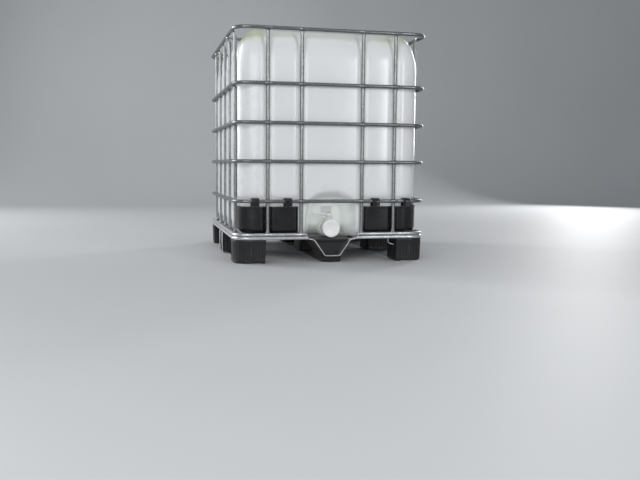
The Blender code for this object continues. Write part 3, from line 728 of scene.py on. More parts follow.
for node, place in upright_places.items():
    outward = upright_outward[node]
    path = place * [1, 1, 0] + np.outer(shift, outward) + np.outer(height, UP)
    skin = swept(path, np.cross(UP, outward), oval(thick, wide))
    add_piece(node + "_tube", [skin], tube_zinc, stands_for=[node])
print(len(upright_places), "uprights")

# %% [markdown]
# Between the tubes of each crossing sit the nuggets of melted metal. They are tiny and there
# are more than a hundred crossings, so each nugget is a coarse ball, squashed and bent out
# of round by a wave of its own.


# %% Weld nuggets
def nugget(centre, outward, seed):
    """A ball with radius 1 + 0.18 sin(3 turn + seed), 5 rings of 8 points, squashed to the joint."""
    rise = np.linspace(-0.42, 0.42, 5)[:, None] * np.pi
    turn = np.linspace(0, 2 * np.pi, 8, endpoint=False)
    reach = np.cos(rise) * (1 + 0.18 * np.sin(3 * turn + seed))
    sideways = (reach * np.cos(turn) * 0.0088)[..., None] * np.cross(UP, outward)
    upwards = (reach * np.sin(turn) * 0.0084)[..., None] * UP
    return capped(centre + sideways + upwards + (np.sin(rise) * 0.0040)[..., None] * outward)


nuggets = []
for number, (node, place) in enumerate(upright_places.items()):
    outward = upright_outward[node]
    for level, height in enumerate(ring_levels):
        weld_height = height - (0.001 if height > 1 else 0)
        centre = np.array([*place[:2], weld_height]) + outward * (tube_radius + 0.0002)
        nuggets.append(nugget(centre, outward, number + 2.1 * level))
add_piece("cage_welds", nuggets, weld_burn)
print(len(nuggets), "welds")

# %% [markdown]
# Two bars cross the top and hold the bottle down. Their ends are pressed flat and bolted
# under the top ring, each with a washer and a hexagon head.

# %% Cross bars and bolts
BAR_PLACES = 150
BAR_FLAT_HALF = 0.0036
for side in ("front", "rear"):
    low, high = node_box("cross_bar_" + side)
    radius = (high[2] - low[2]) / 2
    across = np.linspace(low[0], high[0], BAR_PLACES)
    end = np.minimum(across - low[0], high[0] - across)
    flat = 1 - smooth_step((end - 0.020) / 0.030)
    tip = np.sqrt(np.clip(1 - (1 - end / 0.010).clip(0, 1) ** 2, 0.02, 1))
    path = np.linspace((low[0], *(low + high)[1:] / 2), (high[0], *(low + high)[1:] / 2), BAR_PLACES)
    path = path + np.outer(0.0035 * flat, UP)
    section = oval(radius * (1 - flat) + BAR_FLAT_HALF * flat, (radius + 0.0040 * flat) * tip, 16)
    skin = swept(path, BACK, section)
    add_piece(f"cross_bar_{side}_tube", [skin], tube_zinc, stands_for=["cross_bar_" + side])


def hexagon_head(centre, radius, low, high):
    """Six flats with chamfered edges: the radius is the flat's distance / cos(angle within its sixth)."""
    turn = np.linspace(0, 2 * np.pi, 36, endpoint=False)
    flat = radius * 0.9 / np.cos((turn + np.pi / 6) % (np.pi / 3) - np.pi / 6)
    levels = np.array([[low, 0.86], [low + 0.0007, 1.0], [high - 0.0004, 1.0], [high, 0.95]])
    ring = flat * levels[:, 1:]
    level = np.repeat(levels[:, :1], 36, 1)
    return capped(np.stack([centre[0] + ring * np.cos(turn), centre[1] + ring * np.sin(turn), level], -1))


WASHER = [(0.003, 0), (0.0086, 0), (0.0089, 0.0003), (0.0089, 0.0011), (0.0086, 0.0014), (0.003, 0.0014)]
SHANK = [(0.001, 0), (0.0029, 0), (0.0029, 0.018), (0.001, 0.018)]
underside = node_box("cross_bar_front")[0][2] + 0.0070
for node in nodes_named("bar_bolt_"):
    centre = node_middle(node)
    skins = [
        hexagon_head(centre, 0.0074, node_box(node)[0][2] + 0.0008, underside - 0.0016),
        turned(WASHER, (*centre[:2], underside - 0.0015), columns=32),
        turned(SHANK, (*centre[:2], underside - 0.002), columns=16),
    ]
    add_piece(node + "_hex", skins, bolt_zinc, stands_for=[node], sharp=30)
print("two bars and four bolts")

# %% [markdown]
# ## Bottle
#
# The bottle is blown inside a mould, so it is one skin with soft edges. Its walls swell into
# panels between the uprights, with a groove behind each upright, and the panels end in
# rounded corners below the shoulder. At the bottom of the front a scoop makes room for the
# valve.
#
# One grid makes all of it. Across, a column follows the rounded outline of the bottle.
# Upwards, a row follows the half profile: base, base curve, wall, shoulder, top, neck.
# Panels push the skin out along its normal, and the scoop pushes it back along the depth.

# %% Columns and rows of the bottle
BOTTLE_COLUMNS = 440
BOTTLE_CORNER = 0.100
BASE_CURVE = 0.058
SHOULDER_RISE = 0.180
SHOULDER_INSET = 0.088
SHOULDER_POWER = 0.93
CREST_ABOVE = 0.0425
NECK_RADIUS = 0.075
NECK_RISE = 0.026
CLOSE_ROWS_TO = 0.365
bottle_half = (bottle_high[:2] - bottle_low[:2]) / 2
bottle_top = bottle_high[2] - NECK_RISE
bottle_loop = loop_table(*bottle_half, [BOTTLE_CORNER] * 4)
bottle_length = bottle_loop[0][-1]
bottle_uprights = np.sort(places_on(bottle_loop))
fine_along = np.linspace(0, bottle_length, 6000)
near_front = bell(np.minimum(fine_along, bottle_length - fine_along), 0.16, 6)
near_groove = bell(apart(fine_along, bottle_uprights, bottle_length), 0.034, 4)
crowding = np.cumsum(1 + 1.3 * near_front + 1.7 * near_groove)
column_along = np.interp(np.linspace(0, 1, BOTTLE_COLUMNS, endpoint=False), crowding / crowding[-1], fine_along)
column_place, column_outward = on_loop(column_along, bottle_loop)

curve = np.radians(np.linspace(0, 90, 11))
base_rows = BASE_CURVE * np.stack([1 - np.sin(curve), 1 - np.cos(curve)], 1) + [0, bottle_low[2]]
bottle_crest = bottle_top + CREST_ABOVE
wall_low, wall_high = bottle_low[2] + BASE_CURVE, bottle_crest - SHOULDER_RISE
close_rows, wide_rows = np.linspace(wall_low, CLOSE_ROWS_TO, 36), np.linspace(CLOSE_ROWS_TO, wall_high, 22)
wall_heights = np.concatenate([close_rows[1:], wide_rows[1:]])
wall_rows = np.stack([0 * wall_heights, wall_heights], 1)
bend = np.radians(np.linspace(0, 90, 31))[1:]
shoulder_inset = SHOULDER_INSET * (1 - np.cos(bend) ** SHOULDER_POWER)
shoulder_rows = np.stack([shoulder_inset, wall_high + SHOULDER_RISE * np.sin(bend) ** SHOULDER_POWER], 1)
rows = np.vstack([base_rows, wall_rows, shoulder_rows])
cornered = smooth_step((2 * np.abs(column_outward[:, 0] * column_outward[:, 1]) - 0.05) / 0.6)
row_is_base = np.arange(len(rows)) < len(base_rows)
row_rise = np.concatenate([[0], np.cumsum(np.linalg.norm(np.diff(rows, axis=0), axis=1))])
row_rise += wall_low - row_rise[len(base_rows) - 1]
print("bottle grid:", len(rows), "rows of", len(column_along), "columns")

# %% [markdown]
# A panel is a rounded rectangle on the unrolled skin. Its signed distance is the usual one:
# with q = |offset from the middle| - half size + corner radius, the distance is
# |max(q, 0)| + min(max(q), 0) - corner radius, below zero inside. A smooth step of that
# distance is the panel's mask, and the swell is highest in the middle of the panel.


# %% Panels and scoop
def panel_mask(along, rise, places, length, floor_rise, top_rise, edge, corner, fade):
    """Mask of the panels between neighbouring places on a loop, and how near the middle of its panel a point is."""
    places = np.concatenate([places, [places[0] + length]])
    along = np.where(along < places[0], along + length, along)
    number = np.clip(np.searchsorted(places, along, side="right") - 1, 0, len(places) - 2)
    left, right = places[number], places[number + 1]
    half_width = (right - left) / 2 - edge
    half_height = (top_rise - floor_rise) / 2
    off_x = np.abs(along - (left + right) / 2)
    off_z = np.abs(rise - (top_rise + floor_rise) / 2)
    q = np.stack([off_x - half_width + corner, off_z - half_height + corner], -1)
    distance = np.linalg.norm(np.maximum(q, 0), axis=-1) + np.minimum(q.max(-1), 0) - corner
    return smooth_step(-distance / fade), np.clip(1 - (off_x / half_width) ** 2, 0, 1)


GROOVE_LIFT = 0.0062
SCOOP_HALF = 0.142
SCOOP_TOP = 0.372
SCOOP_SPRING = 0.215
SCOOP_DEPTH = 0.106
SCOOP_LIFT = 0.028
SCOOP_POWER = 2.6
FULL_SWELL_TO = 0.97


def scoop_mask(x, z):
    """A smooth step of 1 - rho, where rho is |x| / half width below the spring line and a rounded arch above it."""
    up = np.maximum(z - SCOOP_SPRING, 0) / (SCOOP_TOP - SCOOP_SPRING)
    rho = ((np.abs(x) / SCOOP_HALF) ** SCOOP_POWER + up**SCOOP_POWER) ** (1 / SCOOP_POWER)
    return smooth_step((1 - rho) / (0.42 + 0.34 * smooth_step((z - 0.285) / 0.05)))


drawn_in = rows[:, :1] * (1 + 0.6 * row_is_base[:, None] * cornered)
grid_place = column_place - drawn_in[..., None] * column_outward
grid = np.concatenate([grid_place, np.broadcast_to(rows[:, 1, None, None], (*grid_place.shape[:2], 1))], -1)
normal = np.cross(np.roll(grid, -1, 1) - np.roll(grid, 1, 1), np.gradient(grid, axis=0))
normal /= np.maximum(np.linalg.norm(normal, axis=-1, keepdims=True), 1e-9)

along_grid = np.broadcast_to(column_along, grid.shape[:2])
rise_grid = np.broadcast_to(row_rise[:, None], grid.shape[:2])
crest_rise = row_rise[-1]
guarded = (grid[..., 1] < -0.40) & (np.abs(grid[..., 0]) > 0.16)
floor_rise = np.where(guarded, 0.305, 0.165)
mask, middle = panel_mask(
    along_grid, rise_grid, bottle_uprights, bottle_length, floor_rise, top_rise=crest_rise + 0.020,
    edge=0.0050, corner=0.038, fade=0.027,
)
scoop = scoop_mask(grid[..., 0], grid[..., 2]) * (grid[..., 1] < 0)
round_turn = 2 * np.pi * along_grid / bottle_length
relax = 0.5 + 0.5 * np.sin(6 * round_turn + 2.0 * rise_grid) * np.cos(3.1 * rise_grid + 1.3)
swell = 0.0078 + 0.0055 * middle - 0.0012 * relax
on_shoulder = smooth_step((rise_grid - FULL_SWELL_TO) / (crest_rise - FULL_SWELL_TO))
lift = GROOVE_LIFT * smooth_step((rise_grid - floor_rise) / 0.05)
push_out = (lift + mask * swell) * (1 - scoop) * (1 - 0.8 * on_shoulder)
grid = grid + normal * push_out[..., None]
grid[..., 1] += SCOOP_DEPTH * scoop
grid[..., 2] += SCOOP_LIFT * scoop * (1 - smooth_step((grid[..., 2] - bottle_low[2]) / 0.11))
print("panel swell up to", round(float(push_out.max()), 4), "m; scoop", round(float(scoop.max()), 2))

# %% [markdown]
# The bottom face draws the first row in to the middle, and the top draws the last row in to
# the neck: a blend of two loops, (1 - t) outer + t inner. The top sinks in a well round the
# neck, and in a channel under each cross bar. The neck carries a screw thread, a ridge whose
# height climbs one pitch for each turn.

# %% Bottom, top and neck of the bottle
THREAD_PITCH = 0.007
bottom_share = np.linspace(0.05, 1, 9)[:-1, None, None]
bottom = grid[0] * [1, 1, 0] * bottom_share + UP * (bottle_low[2] + 0.006 * (1 - bottom_share**2))
angle = np.arctan2(grid[-1][:, 1], grid[-1][:, 0])
ring_of = np.stack([np.cos(angle), np.sin(angle), np.zeros_like(angle)], -1)
share = np.linspace(0, 1, 56)[1:, None]
top_outer = grid[-1] * (1 - share[..., None]) + ring_of * 0.094 * share[..., None]
from_neck = np.linalg.norm(top_outer[..., :2], axis=-1)
well = 1 - smooth_step((from_neck - 0.112) / 0.085)
collar = 0.0012 * bell(from_neck - 0.225, 0.014) * smooth_step(share / 0.1)
flat_top = bottle_crest + 0.0022 + collar - (CREST_ABOVE + 0.0022) * well
top_outer[..., 2] = grid[-1][:, 2] + (flat_top - grid[-1][:, 2]) * smooth_step(share / 0.22)

neck_rise = np.linspace(0, NECK_RISE, 22)[:, None]
thread = np.abs(((neck_rise / THREAD_PITCH - angle / (2 * np.pi)) % 1) - 0.5) * 2
ridge = smooth_step((thread - 0.45) / 0.4) * smooth_step(neck_rise / 0.004 - 0.9)
ridge = ridge * smooth_step((0.0245 - neck_rise) / 0.003)
fillet = 0.016 * (1 - np.sqrt(1 - (1 - np.minimum(neck_rise / 0.004, 1)) ** 2))
neck_radius = NECK_RADIUS - 0.0026 + fillet + 0.0024 * ridge
neck = ring_of * neck_radius[..., None] + UP * (bottle_top + neck_rise)[..., None]
rim = np.array([
    (0.0715, NECK_RISE), (0.0705, 0.0255), (0.070, 0.0245), (0.070, 0.010),
    (0.070, -0.012), (0.060, -0.02), (0.03, -0.021), (0.004, -0.021),
])[:, :, None, None]
bore = ring_of * rim[:, 0] + UP * (bottle_top + rim[:, 1])

bar_low, bar_high = node_box("cross_bar_front")
bar_y, bar_floor = abs(bar_low[1] + bar_high[1]) / 2, bar_low[2] - 0.0025
for part in (grid, top_outer):
    under_bar = 1 - smooth_step((np.abs(np.abs(part[..., 1]) - bar_y) - 0.010) / 0.020)
    part[..., 2] -= under_bar * np.maximum(part[..., 2] - bar_floor, 0)
outlet_back = SCOOP_DEPTH - bottle_half[1]
spout_profile = [
    (0.030, -0.060), (0.047, -0.050), (0.0492, -0.030), (0.0492, -0.006), (0.0480, -0.0016), (0.0455, -0.0005),
    (0.034, -0.0005), (0.032, 0.002), (0.032, 0.0237), (0.0275, 0.0237), (0.0275, -0.010), (0.002, -0.011),
]
spout = turned(spout_profile, (0, outlet_back, outlet_height), "forward", 96)
bottle_grid = capped(np.concatenate([bottom, grid, top_outer, neck, bore]))
bottle = add_piece(
    "bottle_skin", [bottle_grid, spout], bottle_skin, stands_for=["bottle"], sharp=60
)

# %% [markdown]
# Three values are kept on the bottle's points for its finish: groove, shaded and shoulder.
# Each has a value for the wall, and is nothing on the bottom, the neck and the spout.


# %% Values kept on the bottle
def keep_value(name, on_wall, on_top):
    nothing = [np.zeros(part.shape[:2]) for part in (bottom, neck, bore)]
    values = np.concatenate([nothing[0], on_wall, on_top, *nothing[1:]]).ravel()
    layer = bottle.data.attributes.new(name, "FLOAT", "POINT")
    filled = np.zeros(len(bottle.data.vertices), np.float32)
    filled[: len(values)] = values
    layer.data.foreach_set("value", filled)


in_wall = smooth_step((rise_grid - 0.14) / 0.05) * (1 - smooth_step((rise_grid - 1.07) / 0.06))
in_groove = (1 - mask) * in_wall
scoop_edge = scoop * (1 - scoop) * 4
corner_side = smooth_step((np.abs(grid[..., 0]) - 0.20) / 0.15)
shoulder = smooth_step((rise_grid - 1.06) / 0.08) * (0.30 + 0.70 * corner_side)
bare_top = np.zeros(top_outer.shape[:2])
# Groove value: where the painted shade tint goes, in the grooves, in the scoop, and most at the scoop's rim.
keep_value("groove", np.clip(in_groove * 0.22 * (1 - scoop) + 0.10 * scoop + 0.16 * scoop_edge, 0, 1), bare_top)
# Shaded value: where the painted glow goes, in the scoop and the grooves.
keep_value("shaded", np.maximum(smooth_step(scoop / 0.6), 0.8 * in_groove), bare_top)
keep_value("shoulder", shoulder, shoulder[-1] + (0.12 - shoulder[-1]) * smooth_step(share / 0.5))
print("bottle", len(bottle.data.polygons), "faces")

# %% [markdown]
# ## Corner guards
#
# A black moulded guard wraps each lower front corner of the bottle. It bulges between the
# uprights as the bottle does, draws in under the corner, and hangs on the lower ring by two
# hooks. Its wall is swept along the corner's outline with a section that goes up the outer
# face and down the inner one. The hooks are strips bent over the ring.

# %% Corner guards
GUARD_CORNER = 0.090
GUARD_RETURN = 0.030
GUARD_WALL = 0.004
HOOK_MIDDLES = (0.227, 0.392)
HOOK_HALF = 0.0195
guard_half = upright_half - tube_radius - 0.0003
guard_start, _, guard_low = node_box("corner_guard_right")[0]
lower_ring = ring_heights["cage_ring_lower"]
guard_high = lower_ring - tube_radius - 0.0175
guard_loop = loop_table(*guard_half, [GUARD_CORNER] * 4)
guard_end = guard_half[0] - GUARD_CORNER + GUARD_CORNER * np.pi / 2 + GUARD_RETURN
guard_uprights = np.sort(places_on(guard_loop))


def guard_wall():
    """Offset = swell * panel mask + lip - base curve, and the base curve is r - sqrt(r^2 - depth^2)."""
    along = np.linspace(guard_start, guard_end, 120)
    place, outward = on_loop(along, guard_loop)
    cornered = smooth_step((along - 0.33) / 0.09)
    floor = (guard_low + 0.080 * smooth_step((along - 0.39) / 0.18) ** 1.5)[:, None]
    height = floor + (guard_high - floor) * np.linspace(0, 1, 36)
    depth = np.maximum(wall_low - height, 0)
    drawn_in = (BASE_CURVE - np.sqrt(BASE_CURVE**2 - depth**2)) * (1 + 0.9 * cornered[:, None])
    along_wall = np.broadcast_to(along[:, None], height.shape)
    mask, middle = panel_mask(
        along_wall, height, guard_uprights, guard_loop[0][-1], floor_rise=0.138, top_rise=0.300,
        edge=0.0125, corner=0.026, fade=0.016,
    )
    lip = 0.0016 * smooth_step((height - guard_high + 0.010) / 0.003)
    outer = mask * (0.0085 + 0.0035 * middle) + lip - drawn_in
    offset = np.concatenate([outer, (outer - GUARD_WALL - lip)[:, ::-1]], 1)[..., None]
    heights = np.concatenate([height, height[:, ::-1]], 1)[..., None]
    return np.concatenate([place[:, None] + offset * outward[:, None], heights], -1)


def hook_strip(middle):
    """A strip bent over the lower ring: up behind it, across above it and down in front of it."""
    back, front = -guard_half[1] + 0.0012, -ring_half[1] - tube_radius - 0.0014
    top = lower_ring + tube_radius + 0.0060
    behind = [(back, guard_high - 0.020), (back, top - 0.008), (back - 0.010, top)]
    before = [(front + 0.012, top - 0.001), (front, top - 0.012), (front, guard_high + 0.002)]
    section = rounded_strip(0.00125, HOOK_HALF, 0.0009)
    return bent_strip(behind + before, radius=0.006, spacing=0.0015, across=0, at=middle, section=section)


for side, sign in (("left", -1), ("right", 1)):
    skins = [capped(guard_wall() * [sign, 1, 1]), *(hook_strip(sign * middle) for middle in HOOK_MIDDLES)]
    node = "corner_guard_" + side
    add_piece(node + "_shell", skins, guard_black, stands_for=[node], sharp=50)
print("two guards with", len(HOOK_MIDDLES), "hooks each")

# %% [markdown]
# ## Pallet
#
# A steel band with two beads carries the cage. Its ends stop at the notch for the valve,
# where a bent strap joins them. Nine black feet stand between the band and three flat
# skids, and a pressed tray with ribs closes the space under the bottle.

# %% Band, strap and tray
BAND_PLACES = 420
BAND_HALF_WIDTH = 0.020
BAND_CORNER = 0.065
BAND_HALF_HEIGHT = 0.0078
band_middle = (frame_low[2] + frame_high[2]) / 2
band_half = (frame_high[2] - frame_low[2]) / 2
band_loop = loop_table(*(frame_high[:2] - BAND_HALF_WIDTH), [BAND_CORNER] * 4)
band_along = np.linspace(NOTCH_HALF, band_loop[0][-1] - NOTCH_HALF, BAND_PLACES)
band_path = level_path(on_loop(band_along, band_loop)[0], band_middle)
bead = [(0.020, 0.0035), (0.0165, 0.0078), (0.0085, 0.0078), (0.0060, 0.0046)]
band_base = [(-0.020, -0.0078), (0.0165, -0.0078), (0.020, -0.0050)]
band_section = softened([*band_base, *bead, *((-x, y) for x, y in bead[::-1])], 0.0022, 3, closed=True)
band_skin = swept(band_path, UP, band_section * [1, band_half / BAND_HALF_HEIGHT])
add_piece("pallet_band", [band_skin], sheet_zinc, stands_for=["pallet_frame"], sharp=50)

strap_low, strap_high = node_box("valve_strap")
strap_half = strap_high[0] - 0.0015
strap_end = [(strap_half, strap_high[2]), (strap_half, 0.1225), (0.094, 0.1175), (0.037, strap_low[2] + 0.0015)]
strap_corners = [(-x, z) for x, z in strap_end] + strap_end[::-1]
half_rim = [(0.0015, 1), (0.0015, 0.86), (0.0004, 0.78)]
strap_rim = np.array([(-0.0015, -1), (-0.0015, 1), *half_rim, *((x, -y) for x, y in half_rim[::-1])])
strap_rim = strap_rim * [1, (strap_high[1] - strap_low[1]) / 2]
strap_skin = bent_strip(
    strap_corners, radius=0.010, spacing=0.003, across=1, at=(strap_low[1] + strap_high[1]) / 2,
    section=strap_rim, steps=6,
)
add_piece("valve_strap_bent", [strap_skin], sheet_zinc, stands_for=["valve_strap"], sharp=35)

RIB_PLACES = (-0.345, -0.265, -0.185, 0.145, 0.225, 0.305, 0.385)
RIB_END = 0.40
tray_floor = node_box("pallet_tray")[0][2]
across = np.linspace(-RIB_END, RIB_END, 60)
fall = 0.0065 * np.sqrt(np.clip(smooth_step((RIB_END - np.abs(across)) / 0.03), 0.01, 1))
rib_section = oval(fall, np.full(60, 0.016), 16)
rib_paths = (level_path(np.column_stack([across, np.full(60, y)]), tray_floor + 0.0006) for y in RIB_PLACES)
add_piece("pallet_tray_ribs", [swept(path, BACK, rib_section) for path in rib_paths], sheet_zinc)
print("band", len(band_path), "places; strap; tray with", len(RIB_PLACES), "ribs")

# %% [markdown]
# A foot is a moulded block with a little draft, flutes down its sides and soft edges top and
# bottom. The loop round it is pulled up through a list of (height, inset) pairs. A flute
# is a cosine along the outline, so its depth is flute * (1 + cos(2 pi s / spacing)) / 2.

# %% Feet
FLUTE_SPACING = 0.0165
FLUTE_DEPTH = 0.0024
FOOT_DRAFT = 0.0035
FOOT_COLUMNS = 240
FOOT_ROUND = 0.012
FOOT_CORNER = 0.085
plain_levels = (0.010, 0.014, 0.018, 0.055, 0.097, 0.101, 0.105, 0.113)
foot_levels = np.array([
    (0, 0.0022), (0.0008, 0.0008), (0.0026, 0), *((level, 0) for level in plain_levels),
    (0.1147, 0.0006), (0.1154, 0.0016),
])


def foot_block(low, high, radii):
    centre, half = (low + high) / 2, (high - low) / 2
    loop = loop_table(*half[:2], radii)
    pitch = loop[0][-1] / round(loop[0][-1] / FLUTE_SPACING)
    along = np.linspace(0, loop[0][-1], FOOT_COLUMNS, endpoint=False)
    place, outward = on_loop(along, loop)
    level, inset = foot_levels.T
    height = level / level[-1]
    fluted = smooth_step((level - 0.008) / 0.010) * smooth_step((0.107 - level) / 0.010)
    flute = (0.5 + 0.5 * np.cos(2 * np.pi * along / pitch)) ** 1.6
    inset = (inset + FOOT_DRAFT * (1 - height))[:, None] + FLUTE_DEPTH * fluted[:, None] * flute
    flat = centre[:2] + place - inset[..., None] * outward
    heights = np.broadcast_to((low[2] + height * (high[2] - low[2]))[:, None, None], (*inset.shape, 1))
    return np.concatenate([flat, heights], -1)


corner_order = ("front_right", "rear_right", "rear_left", "front_left")
for node in nodes_named("foot_"):
    if node != "foot_front":
        radii = [FOOT_CORNER if node == "foot_" + corner else FOOT_ROUND for corner in corner_order]
        skin = capped(foot_block(*node_box(node), radii))
        add_piece(node + "_block", [skin], foot_black, stands_for=[node], sharp=35)

# %% Tapered foot under the valve
low, high = node_box("foot_front")
bottom_edge = [low[2], low[2] + 0.001, low[2] + 0.003]
levels = np.concatenate([bottom_edge, np.linspace(low[2] + 0.006, high[2] - 0.003, 26), [high[2]]])[:, None]
half_width = np.interp(levels, [low[2], 0.034, high[2]], [0.055, 0.055, high[0]])
inset = np.interp(levels, [*bottom_edge, high[2] - 0.003, high[2]], [0.002, 0.0008, 0, 0, 0.001])
shelf = np.linspace(-1, 1, 60)
corner_fall = 0.010 * (1 - np.sqrt(1 - np.clip((np.abs(shelf) - 0.90) / 0.10, 0, 1) ** 2))
half_depth = (high[1] - low[1]) / 2 - corner_fall - inset
pocket = smooth_step((0.80 - np.abs(shelf)) / 0.10) * smooth_step((levels - low[2] - 0.018) / 0.008)
pocket = pocket * smooth_step((high[2] - 0.010 - levels) / 0.008)
front_x = shelf * (half_width - inset)
ring_x = np.concatenate([front_x, front_x[:, ::-1]], 1)
ring_y = np.concatenate([0.006 * pocket - half_depth, half_depth[:, ::-1]], 1) + (low[1] + high[1]) / 2
skin = capped(np.stack([ring_x, ring_y, np.broadcast_to(levels, ring_x.shape)], -1))
add_piece("foot_front_block", [skin], foot_black, stands_for=["foot_front"], sharp=35)
print("nine feet")

# %% [markdown]
# The skids are flat strips with pressed beads. On the middle feet at the sides, a bent strip
# ties the band to the skid, and a small clip holds the band near the front right foot.

# %% Skids, ties and clip
BEADS = np.array([0.06, 0.32, 0.68, 0.94])
for node in nodes_named("skid_"):
    low, high = node_box(node)
    middle = (low[0] + high[0]) / 2
    across = np.linspace(low[0], high[0], 61)
    share = (across - low[0]) / (high[0] - low[0])
    bead = bell(share[:, None] - BEADS, 0.035).sum(1)
    upper = np.stack([0.0017 + 0.0013 * np.clip(bead, 0, 1), across - middle], 1)
    lower = np.stack([np.full(61, 0.0002), upper[::-1, 1]], 1)
    path = np.linspace((middle, low[1], 0), (middle, high[1], 0), 40)
    skin = swept(path, ACROSS, np.vstack([upper, lower]) * [-1, 1])
    add_piece(node + "_strip", [skin], sheet_zinc, stands_for=[node], sharp=35)


def tie_strip(x, sign, y):
    """From the band down the outer face of a foot and in under it."""
    down = [(x - sign * 0.020, 0.1183), (x, 0.1183), (x, 0.050)]
    under = [(x - sign * 0.0022, 0.0055), (x - sign * 0.030, 0.0040)]
    section = rounded_strip(0.0009, 0.015, 0.0006)
    return bent_strip(down + under, radius=0.006, spacing=0.003, across=1, at=y, section=section)


ties = []
for node, sign in (("foot_left", -1), ("foot_right", 1)):
    low, high = node_box(node)
    outer = low[0] if sign < 0 else high[0]
    ties += [tie_strip(outer + sign * 0.0016, sign, y) for y in (low[1] + 0.016, high[1] - 0.016)]
clip_corners = [(0.300, 0.1185), (0.300, 0.096), (0.318, 0.088), (0.330, 0.088)]
clip_section = rounded_strip(0.0012, 0.014, 0.0008)
ties.append(
    bent_strip(clip_corners, radius=0.005, spacing=0.002, across=1, at=frame_low[1] + 0.030, section=clip_section)
)
add_piece("pallet_ties", ties, sheet_zinc, sharp=35)
print("three skids,", len(ties) - 1, "ties and a clip")

# %% [markdown]
# ## Lid and vent plug
#
# The lid is a turned cup with grips round its skirt, a raised rim and radial ribs on its
# top. The vent plug screws into its middle. Both are turned profiles whose radius is cut by
# a wave for the grips: depth * (1 - cos(count * angle)) / 2.


# %% Lid, plug and their seals
def grips(count, depth, low, high, beyond, power=1.0):
    """Grooves round the rows between two distances whose radius is beyond a limit."""

    def cut(turn, radius, distance):
        picked = smooth_step((distance - low) / 0.0015) * smooth_step((high - distance) / 0.0015)
        return -depth * picked * (radius > beyond) * (0.5 - 0.5 * np.cos(count * turn)) ** power

    return cut


def rows_at(radius, low, high, count):
    """Rows of one radius at even distances, close enough for the grips to bend."""
    return [(radius, distance) for distance in np.linspace(low, high, count)]


def thread(radius, depth, pitch, low, high, count):
    """Rows of a screw thread: radius - depth * (1 + cos(2 pi distance / pitch)) / 2."""
    rise = np.linspace(low, high, count)
    return list(zip(radius - depth * (0.5 + 0.5 * np.cos(2 * np.pi * rise / pitch)), rise))


def add_white(name, skins, finish, body="base", stands_for=(), sharp=45):
    return add_piece(name, skins, finish, body, stands_for, sharp)


def refinish(node, finish):
    """A CAD node whose shape is right keeps it, and takes a finish through its object's own slots."""
    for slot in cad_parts[node].material_slots:
        slot.link = "OBJECT"
        slot.material = finish


lid_low, lid_high = node_box("fill_lid")
lid_radius = lid_high[0]
rise = lid_high[2] - lid_low[2]
lid_profile = [
    (0.0247, rise - 0.0040), (0.0765, rise - 0.0040), (0.0768, 0.0004),
    (lid_radius - 0.0022, 0.0), (lid_radius - 0.0004, 0.0008), *rows_at(lid_radius, 0.0022, rise - 0.0045, 8),
    (lid_radius - 0.0010, rise - 0.0020), (lid_radius - 0.0035, rise - 0.0003),
    (0.078, rise), (0.0705, rise), (0.0680, rise - 0.0018), (0.0405, rise - 0.0018),
    (0.0385, rise - 0.0002), (0.0340, rise), (0.0255, rise), (0.0247, rise - 0.0008),
]
lid_grips = grips(48, depth=0.0022, low=0.0010, high=rise - 0.002, beyond=0.080, power=2.0)
lid_skins = [turned(lid_profile, (0, 0, lid_low[2]), columns=384, ribs=lid_grips, closed=True)]
for turn in np.pi / 6 * np.arange(12):
    path = np.outer(np.linspace(0.041, 0.0675, 6), (np.cos(turn), np.sin(turn), 0)) + UP * (lid_high[2] - 0.0017)
    lid_skins.append(swept(path, UP, rounded_strip(0.0016, 0.0013, 0.0008)))
add_white("fill_lid_screw", lid_skins, lid_white, "fill_lid", ["fill_lid"])

plug_low, plug_high = node_box("vent_plug")
top = plug_high[2] - plug_low[2]
plug_profile = [
    (0.002, 0.0), (0.0215, 0.0), *thread(0.0238, 0.0012, 0.0028, 0.0012, top - 0.0096, 22),
    (0.0238, top - 0.0089), (0.0290, top - 0.0089), *rows_at(0.0300, top - 0.0078, top - 0.0014, 5),
    (0.0288, top - 0.0002), (0.0225, top), (0.0205, top - 0.0026), (0.0100, top - 0.0026),
    (0.0085, top - 0.0003), (0.002, top - 0.0003),
]
plug_grips = grips(16, depth=0.0024, low=top - 0.0088, high=top, beyond=0.0285, power=2.5)
plug_skin = turned(plug_profile, (0, 0, plug_low[2]), columns=192, ribs=plug_grips)
add_white("vent_plug_screw", [plug_skin], cap_white, "vent_plug", ["vent_plug"])
for node in ("lid_gasket", "vent_gasket", "cap_gasket"):
    refinish(node, seal_black)
print("lid, vent plug and seals")

# %% [markdown]
# ## Outlet valve
#
# From the bottle outwards: a ring nut with grips, the body of the butterfly valve with its
# stem boss and end thread, a lever on top of the stem, and a dust cap. All but the lever
# are profiles turned round the outlet's axis, which points forwards.


# %% Nut and body
def on_outlet(y):
    return 0, y, outlet_height


length = nut_high[1] - nut_low[1]
radius = (nut_high[0] - nut_low[0]) / 2
nut_profile = [
    (0.0324, 0.0), (radius - 0.002, 0.0), (radius - 0.0005, 0.001), *rows_at(radius, 0.003, length - 0.005, 7),
    (radius - 0.0015, length - 0.0022), (radius - 0.0060, length), (0.0362, length),
    (0.0350, length - 0.002), (0.0350, 0.012), (0.0324, 0.011),
]
nut_grips = grips(24, depth=0.0030, low=0.001, high=length - 0.003, beyond=0.040, power=1.6)
nut_skin = turned(nut_profile, on_outlet(nut_high[1]), "forward", 288, nut_grips, closed=True)
add_white("valve_nut_grips", [nut_skin], valve_white, stands_for=["valve_nut"])

